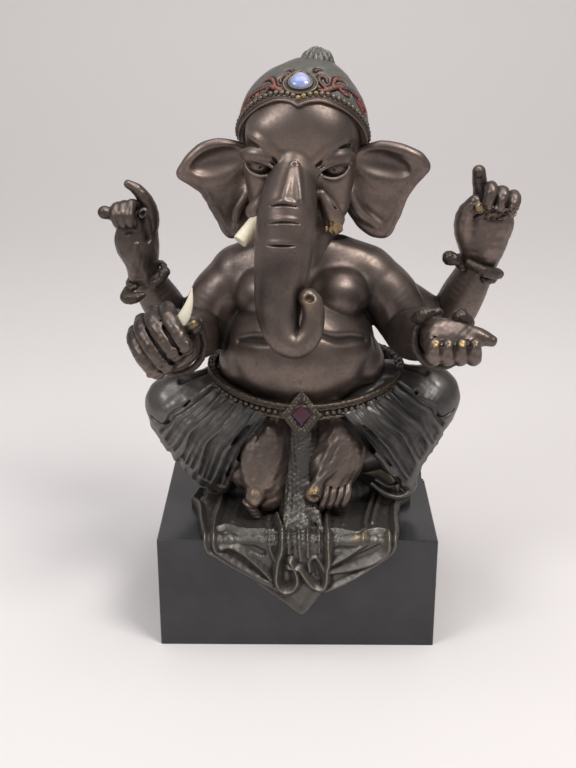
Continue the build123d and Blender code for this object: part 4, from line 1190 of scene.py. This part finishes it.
# ------------------------------------------------------------------ cloth over the legs
def between(a, b, t):
    return np.asarray(a) * (1 - t) + np.asarray(b) * t


LEG_CLOTH = {RIGHT: dict(node="dhoti_right", hip=(-18, 6, 42), thigh=(-38, -2, 45),
                         knee=(-55.5, -4.5, 43.5), knee_r=(11.8, 12.0, 12.0),
                         belt=[(-37.5, -6, 56.5), (-34, -14, 54.5), (-28, -22, 52.5), (-21, -27.5, 50.5),
                               (-13.5, -31, 48.5)],
                         hem=[(-63.5, -7, 34), (-58.5, -10, 25.5), (-50, -13, 17), (-42.5, -16.5, 11.0),
                              (-33.5, -21, 9.5)],
                         swell=[(-56, -15.5, 46), (-50, -19.5, 41), (-43, -23.5, 37), (-35.5, -27, 34),
                                (-26, -29.6, 31)], shin=[(-50, 1, 38), (-38, -4, 22), (-24, -6, 20)],
                         mouth=(-23.5, -24.5, 15.0), mouth_r=(6.0, 9.0, 11.0), mouth_tilt=35),
             LEFT: dict(node="dhoti_left", hip=(24, 6, 42), thigh=(42, -2, 48), knee=(59.6, -4.5, 47.5),
                        knee_r=(11.6, 12.0, 13.2),
                        belt=[(44, -6, 58.5), (40, -14, 56.5), (34.5, -22, 54), (27, -27.5, 51.5),
                              (19.5, -31, 49.5)],
                        hem=[(66.5, -7, 38), (62.5, -10, 30), (57, -13.5, 23.5), (52.5, -17, 16.5),
                             (49.5, -20.5, 10.5)],
                        swell=[(60, -15.5, 50), (55, -19.5, 45.5), (49, -23.5, 41.0), (42.0, -27, 37.0),
                               (34.0, -29.6, 34)], shin=[(52, 1, 42), (42, -4, 24), (30, -6, 20)],
                        mouth=(37.0, -24.0, 15.5), mouth_r=(9.0, 8.0, 6.5), mouth_tilt=25),}
PLEATS = 9
LEG_SOLE = 3.0      # the cloth ends this far above the plinth


def pleat_spots(line):
    """Where each pleat crosses a smooth line that is drawn with a few points."""
    last = (len(line) - 1) * 20
    path = flow(line, 1, 20)[0]
    return [path[min(int(r * 20), last)] for r in np.linspace(0, len(line) - 1, PLEATS)]


def lay_pleats(clay, side, b, s, h):
    """Rounded pleats from the belt (b) over their fullest line (s) to the hem (h)."""
    for i in range(PLEATS):
        wave = 0.5 * math.sin(2.4 * i + side)
        run = [b[i], between(b[i], s[i], 0.5) + (0, -1.6, 0.8), s[i] + (0, -0.4 + wave, 0),
               between(s[i], h[i], 0.55) + (0, -1.2 - wave, 0), h[i]]
        clay.limb(run, [1.6, 2.4, 3.0, 3.2, 2.8], k=2.8)


def crease_pleats(clay, b, s, h):
    """Long creases between the pleats, set on the surface, with a second one beside every other pleat."""
    creases = []
    for i in range(PLEATS - 1):
        for share in (0.5, 0.98) if i % 2 else (0.5,):
            run = [between(b[i], b[i + 1], share), between(s[i], s[i + 1], share),
                   between(h[i], h[i + 1], share)]
            path = [between(run[0], run[1], t) for t in (0.06, 0.35, 0.7, 1.0)]
            path += [between(run[1], run[2], t) for t in (0.3, 0.6, 0.85)]
            creases.append([(x, clay.front(x, z) + 0.1, z) for x, _, z in path])
    for path in creases:
        clay.limb(path, [0.4, 0.8, 1.1, 1.2, 1.2, 1.1, 0.8], k=1.3, mode="cut", spans=4)


def crease_knee(clay, side, start_point, knee, knee_r):
    """Creases over the thigh, and the line round the kneecap."""
    top = knee + (0, 0, knee_r[2])
    for t in (0.25, 0.5, 0.75):
        start = between(start_point, (start_point[0] * 0.94, 4, start_point[2] + 1), t) + (0, 0, 1.0)
        over = between(start, top, 0.5) + (0, -2 - 4 * t, 1.2)
        clay.groove([start, over, between(start, top, 0.8) + (0, -3 - 5 * t, 0)], 1.4, k=1.6)
    cap = [knee + (side * 9.5, -8.2, -3.0), knee + (side * 4, -12.0, -4.6), knee + (-side * 3, -13.0, 1.0),
           knee + (-side * 8, -12.4, 6.5)]
    clay.groove(cap, 1.0, k=1.3)


def shape_hem(clay, side, part, b, s, h):
    """Scalloped lip, the dark mouth under it, and the thick folded inner edge."""
    turn = spin(0, side * part["mouth_tilt"], 0)
    clay.egg(part["mouth"], part["mouth_r"], axes=turn, k=1.0, mode="cut")
    for i in range(PLEATS - 1):
        m = between(h[i], h[i + 1], 0.5)
        clay.egg(m + (side * 1.2, -0.5, -3.2), (1.5, 4.0, 1.9), axes=spin(0, side * 35, 0), k=1.0, mode="cut")
    inner = [b[-1] + (-side * 0.5, -0.8, 0), between(b[-1], s[-1], 0.55) + (-side * 1.2, -2.2, 0),
             s[-1] + (-side * 1.2, -1.6, -1), between(s[-1], h[-1], 0.6) + (-side * 1.6, -1.0, 0),
             h[-1] + (-side * 0.6, -0.4, -0.6)]
    clay.limb(inner, [1.6, 1.9, 1.9, 1.7, 1.3], k=0.5)
    clay.groove([p + (side * 1.9, -1.0, 0) for p in inner[:4]], 0.8, k=0.8)
    clay.gild_run([p + (0, -1.6, 0) for p in inner[:4]], 1.0, 0.25)


def sculpt_leg_cloth(side):
    """Cloth that fans from the belt over thigh and knee, and falls in pleats to the hem."""
    part = LEG_CLOTH[side]
    node, knee, knee_r = part["node"], np.array(part["knee"]), part["knee_r"]
    b, s, h = (pleat_spots(part[line]) for line in ("belt", "swell", "hem"))
    clay = block(node, 0.42, 7)
    clay.limb([part["hip"], part["thigh"], part["knee"]], [15.5, 14.0, 11.0], k=3)
    clay.egg(part["knee"], knee_r, k=7)
    clay.limb(part["shin"], [10.5, 10.0, 9.5], k=4)
    under = [np.array(p) * (0.93, 1, 1) + (0, 9.5, -6.0) for p in part["belt"][:4]]
    clay.limb(under, [8.5, 9.5, 9.5, 7.5], k=4)
    lay_pleats(clay, side, b, s, h)
    crease_pleats(clay, b, s, h)
    crease_knee(clay, side, b[0], knee, knee_r)
    shape_hem(clay, side, part, b, s, h)
    if side == LEFT:
        lip = [(51.5, -18.5, 18), (51.4, -21, 10.5), (46.5, -24, 7.0), (39.5, -25.0, 8.4),
               (33.0, -24.5, 13.5)]
        clay.limb(lip, [1.5, 1.7, 1.6, 1.4, 0.9], k=0.5)
        clay.limb([(45.0, -19.0, 12), (40.5, -22.0, 11.0), (35.0, -22.5, 14.5)], [1.0, 1.0, 0.8], k=0.5)
    clay.slab((0, 0, LEG_SOLE), (0, 0, -1), k=0.5)
    clay.rough(0.08, 5.0, 61 + side)
    return cast(clay, node + "_sculpt", node, DHOTI)


def sculpt_hip_cloth():
    """The cloth round the back of the hips, gathered into soft upright pleats."""
    clay = Clay(DATUM, (-48, -24, -1), (54, 46, 56), 0.55)
    clay.egg((2.5, 9, 36), (39.5, 27.0, 44), k=2)
    clay.limb([(-16, 12, 20), (20, 12, 20)], [25.5, 25.5], k=9)
    count = 22
    for i in range(count):
        turn = math.radians(-22 + 224 * i / (count - 1))
        out = np.array([math.cos(turn), math.sin(turn)])
        lean = 2.2 * math.sin(3.3 * i)
        run = []
        for z, a, b in ((51, 37.5, 27.5), (42, 39.8, 28.0), (30, 40.6, 28.6), (16, 40.0, 28.2),
                        (5, 39.2, 27.0)):
            run.append((2.5 + a * out[0] + lean * (51 - z) / 40, 9 + b * out[1], z))
        clay.limb(run, [1.4, 1.8, 2.2, 2.4, 2.0], k=2.2)
        clay.groove([np.array(p) + (out[0] * 1.6 + 2.4 * out[1], out[1] * 1.6 - 2.4 * out[0],
                                    0) for p in run[1:]], 0.7, k=2.0)
    clay.slab((0, 0, 52.5), (0, 0, 1), k=0.5)
    clay.slab((0, 0, 1.2), (0, 0, -1), k=0.5)
    clay.rough(0.16, 6, 63)
    return cast(clay, "dhoti_hips_sculpt", "dhoti_hips", DHOTI)


# ------------------------------------------------------------------ feet
def sculpt_right_foot():
    """Lower leg and foot, seen from the toes, which lie one behind the other."""
    clay = block("foot_right", 0.36, 6)
    clay.limb([(-12.0, -11, 41), (-13.0, -17.5, 35.5), (-14.6, -23.5, 27.0), (-14.4, -27.5, 18.0),
               (-12.8, -29, 11)], [11.4, 13.4, 12.4, 10.2, 8.0], k=3)
    clay.egg((-25.0, -23.5, 19.0), (4.4, 6.6, 7.8), k=1.4)
    clay.limb([(-20.0, -26.5, 37), (-21.0, -31.0, 28), (-19.6, -35.0, 20.0), (-18.8, -36.6, 15.5)],
              [1.6, 2.2, 2.2, 2.0], k=4)
    clay.limb([(-9.0, -27.5, 37), (-11.0, -33.0, 28), (-13.8, -36.0, 19)], [1.4, 1.8, 1.6], k=4.5)
    clay.egg((-18.4, -36.4, 13.2), (4.2, 4.4, 4.8), axes=spin(0, 20, 0), k=1.2)
    clay.egg((-18.2, -40.0, 12.2), (2.0, 1.0, 2.5), axes=spin(0, 20, 0), k=0.5)
    for i in range(4):
        spot = np.array([-20.8 + 0.9 * i, -36.4 + 0.5 * i, 9.6 - 1.9 * i])
        clay.egg(spot, (3.6 - 0.3 * i, 3.6, 1.5), axes=spin(0, 28, 0), k=0.4)
    clay.gild_run([(-17.4, -40.5, 16.0), (-18.6, -41.0, 12.6)], 1.6, 0.5)
    clay.gild_run([(-19.0, -38.0, 22.0), (-18.4, -39.5, 17.5)], 1.2, 0.5)
    clay.slab((0, 0, 3.2), (0, 0, -1), k=0.5)
    clay.rough(0.12, 3.4, 71)
    return cast(clay, "foot_right_sculpt", "foot_right", SKIN)


def sculpt_left_foot():
    """Lower leg and foot, with a big toe and four toes that point down."""
    clay = block("foot_left", 0.36, 6)
    clay.limb([(19.0, -11, 41), (19.0, -17.5, 36), (17.6, -23.0, 28.0), (14.8, -27.0, 19.5), (13.4, -29, 12)],
              [11.4, 12.8, 11.8, 9.8, 8.0], k=3)
    clay.egg((23.0, -22.5, 24), (4.8, 7.0, 9.5), k=4)
    clay.egg((8.8, -27.5, 24), (4.4, 7.0, 7.0), k=4)
    clay.limb([(20.0, -29.2, 36), (17.0, -33.8, 28), (11.0, -37.0, 22.5), (7.4, -38.6, 17.5)],
              [1.4, 1.5, 1.6, 2.6], k=2.2)
    clay.limb([(14.5, -30.5, 35), (10.5, -34.8, 26), (7.2, -37.4, 20.0)], [1.1, 1.2, 1.0], k=2.2)
    clay.egg((6.8, -37.8, 15.6), (3.9, 4.4, 4.4), k=1.4)
    clay.egg((7.4, -42.0, 14.8), (1.9, 1.0, 2.0), k=0.6, mode="cut")
    clay.limb([(5.2, -41.4, 16.6), (7.4, -42.2, 17.6), (9.6, -41.2, 15.8)], [0.6, 0.7, 0.6], k=0.5)
    for i in range(4):
        x, top = 11.6 + 3.1 * i, 20.4 - 0.6 * i
        run = [(x + 1.4, -33.2 + 0.8 * i, top), (x + 1.0, -37.2 + 0.8 * i, 15.6 - 0.5 * i),
               (x - 0.6, -38.8 + 0.9 * i, 10.6 - 0.3 * i), (x - 1.2, -37.2 + 0.9 * i, 7.4)]
        clay.limb(run, [1.4, 1.7, 1.7, 1.1], k=0.35)
        if i < 3:
            clay.groove([np.array(p) + (1.6, -0.8, 0) for p in run], 1.1, k=0.4)
    clay.gild_run([(4.4, -41.4, 14.0), (5.4, -41.8, 17.6), (8.4, -41.6, 18.6)], 1.4, 0.7)
    clay.gild_run([(17.6, -34.8, 28.6), (12.0, -38.0, 23.4)], 1.1, 0.3)
    clay.slab((0, 0, 3.2), (0, 0, -1), k=0.5)
    clay.rough(0.12, 3.4, 72)
    return cast(clay, "foot_left_sculpt", "foot_left", SKIN)


# ------------------------------------------------------------------ seat and front cloth
def sculpt_seat():
    """The mound under the hips, and the gritty strip that runs from it between the feet."""
    clay = Clay(DATUM, (-52, -52, -1), (56, 50, 47), 0.6)
    clay.limb([(-28, 8, 2), (32, 8, 2)], [17, 17], k=2, squash=((0, 1, 0), 2.0))
    clay.egg((2, 9, 3), (43, 34, 17), k=5)
    clay.limb([(1.8, -18, 46), (2.0, -22, 36), (1.6, -25, 22), (1.6, -30, 8), (1.6, -38, 0),
               (1.6, -46, -3.0)], [7.0, 7.4, 8.2, 9.6, 9.0, 6.4], k=4)
    for x, z in ((-2.5, 40), (1.5, 41), (5.0, 38)):
        clay.limb([(x, -24.5, z), (x * 1.1, -29, z - 13), (x * 1.4, -34.0, z - 27), (x * 1.9, -43, 5),
                   (x * 2.1, -49, 1.2)], [0.7, 1.2, 1.3, 1.3, 1.0], k=2.2)
    clay.slab((0, 0, 0.02), (0, 0, -1), k=0.2)
    clay.rough(0.22, 1.5, 73, low=(-12, -52, 2), high=(16, -20, 47))
    clay.rough(0.25, 5.5, 74)
    return cast(clay, "seat_mound_sculpt", "seat_mound", CLOTH)


# Folds of the cloth laid over the front edge, drawn on the unrolled sheet: x across, and v,
# the distance behind the edge on top, or below it in front when negative.
FOLDS = [([(-45, 44), (-47.5, 34), (-44, 28), (-42.5, 20), (-41.5, 11), (-38.7, -2), (-34.4, -6),
           (-21.7, -14.4), (-8.8, -21.4), (-5, -24)], 1.9, 1.1),
         ([(-33, 46), (-34.6, 24), (-35.6, 13), (-35.2, -1.5), (-31, -6.2), (-22, -12.6), (-15, -17),
           (-10.5, -19)], 1.9, 1.1), ([(-34, 5), (-30, 6.4), (-23.5, 3), (-16, 2.4), (-10, 1.2)], 2.0,
                                      1.5), ([(-32.5, -2.2), (-28.5, -1.0), (-22, -5.0), (-15.5, -11.5),
                                              (-11, -17)], 2.0, 1.1),
         ([(-12.4, 16), (-12.2, 3), (-11.0, -4), (-9.0, -9)], 1.6, 1.1),
         ([(-8.8, 15), (-6.4, 0), (-8.3, -9), (-8.8, -18), (-6.3, -22), (-2.7, -22), (0, -18),
           (-0.9, -12), (-2.9, -8)], 2.7, 1.15),
         ([(-3.6, -10.6), (0.8, -11.6), (3.8, -16), (7, -20), (10.7, -21), (12.4, -18), (12.7, -12),
           (13.4, -8), (12.8, 5), (12.4, 24)], 2.7, 1.15),
         ([(5.4, -13), (5.0, -8.5), (7.6, -6.0), (10.2, -9.5), (12.0, -15)], 1.7, 0.9),
         ([(-3.6, 32), (-4.0, 10), (-3.6, -4)], 1.6, 1.0), ([(0.2, 36), (0.0, 12), (1.4, -8)], 1.5, 1.0),
         ([(4.4, 36), (4.2, 12), (4.6, -6)], 1.7, 1.0), ([(8.4, 32), (8.8, 12), (9.4, -4)], 1.5, 0.9),
         ([(13.5, 3.0), (19, 2.4), (25, 0.6), (29, 4)], 1.9, 1.5),
         ([(14, -13), (23, -11.5), (33, -8), (38.6, -3), (38, 2.2), (33, 2.8), (27, -0.6), (21, -5),
           (15, -9)], 2.1, 1.15), ([(12.3, -22.5), (21, -18), (34, -9), (41, -2), (42, 12), (42.8, 23),
                                    (45, 33), (50, 37)], 1.9, 1.1),
         ([(36, 50), (33.5, 34), (31, 22), (29.3, 10), (29.5, 3.5)], 1.7, 0.95),
         ([(39, 48), (36.4, 34), (34.0, 22), (32.4, 11)], 1.3, 0.8),
         ([(-30, -9), (-17, -19), (-5, -28.4), (2.2, -34.2), (7.4, -26), (9.4, -21)], 1.0, 1.0),
         ([(-24, 40), (-26, 26), (-28, 12)], 0.9, 1.3), ([(24, 38), (22, 24), (20, 10)], 0.9, 1.3),]
HOLLOWS = [
    ([(-30.5, -4.6), (-24.5, -7.6), (-18, -12.0)], 2.3, 2.0),
    ([(-30, 0.6), (-22, -1.0), (-15, -4.6)], 1.6, 1.8),
    ([(-4.4, -1), (-4.6, -10), (-4.2, -17.6)], 2.4, 2.5),
    ([(7.6, -9), (9.4, -15)], 1.6, 1.5),
    ([(18.5, -9.4), (26, -7.2), (35.5, -2.2)], 2.4, 2.2),
    ([(15, -1.6), (21, -1.4)], 1.4, 1.8),
    ([(-43.6, 38), (-44.4, 32)], 1.6, 1.8),
    ([(46, 42), (47.4, 36)], 1.6, 1.8),
]
SHEET_EDGE = [(-36, 46), (-45, 44), (-48, 34), (-45, 27), (-43, 14), (-41, 4), (-39, -4), (-29, -11.5),
              (-17, -20.5), (-6, -29.5), (2.6, -36), (8.4, -29), (11.5, -24), (22, -19), (34.5, -10.5),
              (42, -3.5), (44, 6), (44.5, 22), (46.5, 31), (51.5, 37), (48, 46)]


def gap_to_run(x, v, points):
    """Distance on the sheet from each place to a smooth run."""
    p = flow([(a, b, 0) for a, b in points], 1, 6)[0][:, :2]
    best = np.full(np.broadcast_shapes(x.shape, v.shape), 99.0, np.float32)
    for a, b in zip(p[:-1], p[1:]):
        run = b - a
        t = np.clip(((x - a[0]) * run[0] + (v - a[1]) * run[1]) / max(run @ run, 1e-6), 0, 1)
        best = np.minimum(best, np.hypot(x - a[0] - t * run[0], v - a[1] - t * run[1]))
    return best


def inside_outline(x, v, outline):
    """Signed distance to a closed outline on the sheet, negative inside."""
    loop = outline + outline[:1]
    gap = np.full(np.broadcast_shapes(x.shape, v.shape), 99.0, np.float32)
    inside = np.zeros(gap.shape, bool)
    for (x0, v0), (x1, v1) in zip(loop[:-1], loop[1:]):
        run = np.array([x1 - x0, v1 - v0])
        t = np.clip(((x - x0) * run[0] + (v - v0) * run[1]) / (run @ run), 0, 1)
        gap = np.minimum(gap, np.hypot(x - x0 - t * run[0], v - v0 - t * run[1]))
        if v0 != v1:
            inside ^= ((v0 > v) != (v1 > v)) & (x < (x1 - x0) * (v - v0) / (v1 - v0) + x0)
    return np.where(inside, -gap, gap)


SHEET = 2.2         # thickness of the cast cloth
THINNEST = 0.9
BEND = 1.6          # how softly the cloth turns over the plinth's edge


def sculpt_drape():
    """The cast cloth: a sheet with folds and hollows, bent over the plinth's front edge."""
    front = PLINTH_LOW[1] - DATUM[1]
    clay = Clay(DATUM, (-52, front - 8, -40), (56, -2, 12), 0.42)
    cell = 0.4
    x = np.arange(-54, 58, cell, dtype=np.float32)[:, None]
    v = np.arange(-42, 54, cell, dtype=np.float32)[None, :]
    height = np.full((x.size, v.size), SHEET, np.float32) + 0.8 * np.exp(-((v + 3) / 9) ** 2)
    height = height - 0.8 * np.clip((-22 - v) / 6, 0, 1)
    for points, deep, wide in HOLLOWS:
        height -= min(deep, 2.0) * np.exp(-(gap_to_run(x, v, points) / wide) ** 4)
    for points, tall, wide in FOLDS:
        gap = gap_to_run(x, v, points)
        height = np.maximum(height, 1.5 + 1.7 * tall * np.clip(1 - gap / (wide * 3.1), 0, None) ** 1.25)
    # soft billows between the folds
    height += 0.35 * np.sin(x * 0.42 + 0.6 * np.sin(v * 0.21)) * np.clip((v + 2) / 12, 0, 1)
    outline = inside_outline(x, v, SHEET_EDGE)
    height = np.maximum(height, THINNEST)
    _, (gx, gy, gz) = clay.everywhere()
    over, ahead = gz, front - gy
    base = np.hypot(np.maximum(ahead + BEND, 0),
                    np.maximum(over + BEND, 0)) - BEND + np.minimum(np.maximum(ahead, over) + BEND, 0)
    place = np.maximum(-ahead, 0) + np.minimum(over, 0) + 0 * gx
    ix = np.clip((gx - x[0, 0]) / cell, 0, x.size - 1.01) + 0 * place
    iv = np.clip((place - v[0, 0]) / cell, 0, v.size - 1.01) + 0 * ix
    i0, j0 = ix.astype(int), iv.astype(int)
    fx, fv = ix - i0, iv - j0

    def blend(field):
        return ((field[i0, j0] * (1 - fx) + field[i0 + 1, j0] * fx) * (1 - fv)
                + (field[i0, j0 + 1] * (1 - fx) + field[i0 + 1, j0 + 1] * fx) * fv)

    sheet = base - blend(height)
    edge = blend(outline)
    dist = -smooth_min(-sheet * 0.8, -edge, 1.4)
    clay.d[:] = np.maximum(dist, -base).astype(np.float32)
    clay.gild_run([(24, front - 3.5, 3.5), (31, front - 2, 4.5), (39, front - 1, 5)], 2.4, 0.4)
    clay.gild_run([(-32, front - 3, 2.0), (-24, front - 3.5, 3.0)], 1.8, 0.3)
    clay.rough(0.06, 3.0, 75)
    clay.rough(0.14, 1.3, 76, low=(-14, front - 4, -2), high=(17, -8, 12))
    return cast(clay, "drape_sculpt", "drape", CLOTH)


# ------------------------------------------------------------------ plinth
# Chips off the top right edge: place along the edge, height and size, in millimetres.
CHIPS = ((11.0, 0.4, 3.2), (18.0, -0.6, 4.4), (5.5, 0.8, 2.0), (24.5, 0.4, 2.8))
CHIP_X = 60.6


def cut_chip(piece, centre, size, turn):
    """Breaks a small uneven flake out of a piece."""
    rock = bmesh.new()
    bmesh.ops.create_icosphere(rock, subdivisions=4, radius=size * MM)
    for v in rock.verts:
        w = np.array(v.co) / MM
        dent = 1 + 0.10 * math.sin(2.1 * w[0] + turn) * math.sin(1.7 * w[1] + 2 * turn)
        dent += 0.06 * math.sin(4.3 * w[2] + 3 * w[1])
        v.co = Vector(np.array(v.co) * dent * (0.75, 1.35, 1.0) + centre * MM)
    cutter_mesh = bpy.data.meshes.new("chip_cutter")
    rock.to_mesh(cutter_mesh)
    rock.free()
    cutter = bpy.data.objects.new("chip_cutter", cutter_mesh)
    bpy.context.scene.collection.objects.link(cutter)
    step = piece.modifiers.new("chip", "BOOLEAN")
    step.operation = "DIFFERENCE"
    step.object = cutter
    bpy.context.view_layer.update()
    graph = bpy.context.evaluated_depsgraph_get()
    carved = bpy.data.meshes.new_from_object(piece.evaluated_get(graph))
    piece.modifiers.clear()
    piece.data = carved
    bpy.data.objects.remove(cutter)


def sculpt_plinth():
    """A polished block with eased edges, and a chip off its right top edge."""
    low, high = PLINTH_LOW * MM, PLINTH_HIGH * MM
    bm = bmesh.new()
    bmesh.ops.create_cube(bm, size=1.0)
    for v in bm.verts:
        v.co = [(low[n] + high[n]) / 2 + v.co[n] * (high[n] - low[n]) for n in range(3)]
    bmesh.ops.bevel(bm, geom=bm.edges[:], offset=0.8 * MM, segments=4, profile=0.55, affect="EDGES")
    mesh = bpy.data.meshes.new("plinth_sculpt")
    bm.to_mesh(mesh)
    bm.free()
    mesh.materials.append(STONE)
    piece = bpy.data.objects.new("plinth_sculpt", mesh)
    bpy.context.scene.collection.objects.link(piece)
    for turn, (y, z, size) in enumerate(CHIPS):
        cut_chip(piece, DATUM + (CHIP_X, y, z), size, turn)
    piece.data.materials.clear()
    piece.data.materials.append(STONE)
    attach(piece, "root")
    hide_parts("plinth")


# ------------------------------------------------------------------ stage, light and camera
def build_stage():
    """A pale paper sweep: flat under the object, and curved up behind it."""
    mat, _, _, shader = new_material("paper_floor")
    shader.inputs["Base Color"].default_value = (0.76, 0.727, 0.725, 1)
    shader.inputs["Roughness"].default_value = 0.75
    verts = []
    profile = [(-1.2, 0.0), (0.45, 0.0), (0.75, 0.03), (0.92, 0.12), (1.0, 0.30), (1.01, 1.5)]
    for x in (-1.6, 1.6):
        verts += [(x, y, z) for y, z in profile]
    n = len(profile)
    faces = [(i, i + 1, n + i + 1, n + i) for i in range(n - 1)]
    sweep = mesh_piece("backdrop", verts, faces, mat)
    bevel = sweep.modifiers.new("round", "SUBSURF")
    bevel.levels = bevel.render_levels = 3


def soft_light(name, place, aim, size, power, color=(1, 1, 1)):
    lamp = bpy.data.lights.new(name, "AREA")
    lamp.shape = "RECTANGLE"
    lamp.size, lamp.size_y = size
    lamp.energy = power
    lamp.color = color
    obj = bpy.data.objects.new(name, lamp)
    obj.location = place
    obj.rotation_euler = (Vector(aim) - Vector(place)).to_track_quat("-Z", "Y").to_euler()
    bpy.context.scene.collection.objects.link(obj)


def build_light():
    """A key, a fill and a broad top light, all soft."""
    soft_light("key", (0.42, -0.42, 0.95), (0, 0, 0.12), (0.32, 0.32), 5.4, (1.0, 0.97, 0.94))
    soft_light("fill", (-0.60, -0.50, 0.80), (0, 0, 0.12), (0.36, 0.36), 3.1, (0.97, 0.98, 1.0))
    soft_light("top", (0.0, -0.05, 1.05), (0, 0, 0.1), (0.75, 0.5), 4.0)
    world = bpy.data.worlds.new("studio")
    world.use_nodes = True
    world.node_tree.nodes["Background"].inputs[0].default_value = (1.0, 0.97, 0.97, 1)
    world.node_tree.nodes["Background"].inputs[1].default_value = 0.36
    bpy.context.scene.world = world


LENS = 54.2             # mm, on a 36 mm sensor
CAMERA_AWAY = 3.62      # in plinth widths
CAMERA_RISE = 2.0       # in plinth widths
CAMERA_TILT = 21.2      # degrees down
CAMERA_TURN = 0.52      # degrees to the left


def build_camera():
    """Front view, looking down on the plinth's top from about four plinth widths away."""
    width = (PLINTH_HIGH[0] - PLINTH_LOW[0]) * MM
    front, top = PLINTH_LOW[1] * MM, PLINTH_HIGH[2] * MM
    lens = bpy.data.cameras.new("camera")
    lens.sensor_width = 36
    lens.sensor_fit = "AUTO"
    lens.lens = LENS
    camera = bpy.data.objects.new("camera", lens)
    camera.location = (0, front - CAMERA_AWAY * width, top + CAMERA_RISE * width)
    camera.rotation_euler = (math.radians(90 - CAMERA_TILT), 0, math.radians(CAMERA_TURN))
    bpy.context.scene.collection.objects.link(camera)
    bpy.context.scene.camera = camera
    bpy.context.scene.view_settings.view_transform = "Standard"


sculpt_head()
sculpt_ear(RIGHT)
sculpt_ear(LEFT)
part_body(sculpt_body())
sculpt_fist()
sculpt_open_palm()
sculpt_rear_right_hand()
sculpt_rear_left_hand()
sculpt_bangles()
sculpt_tusks()
sculpt_crown()
sculpt_belt()
sculpt_leg_cloth(RIGHT)
sculpt_leg_cloth(LEFT)
sculpt_hip_cloth()
sculpt_right_foot()
sculpt_left_foot()
sculpt_seat()
sculpt_drape()
sculpt_plinth()
build_stage()
build_light()
build_camera()
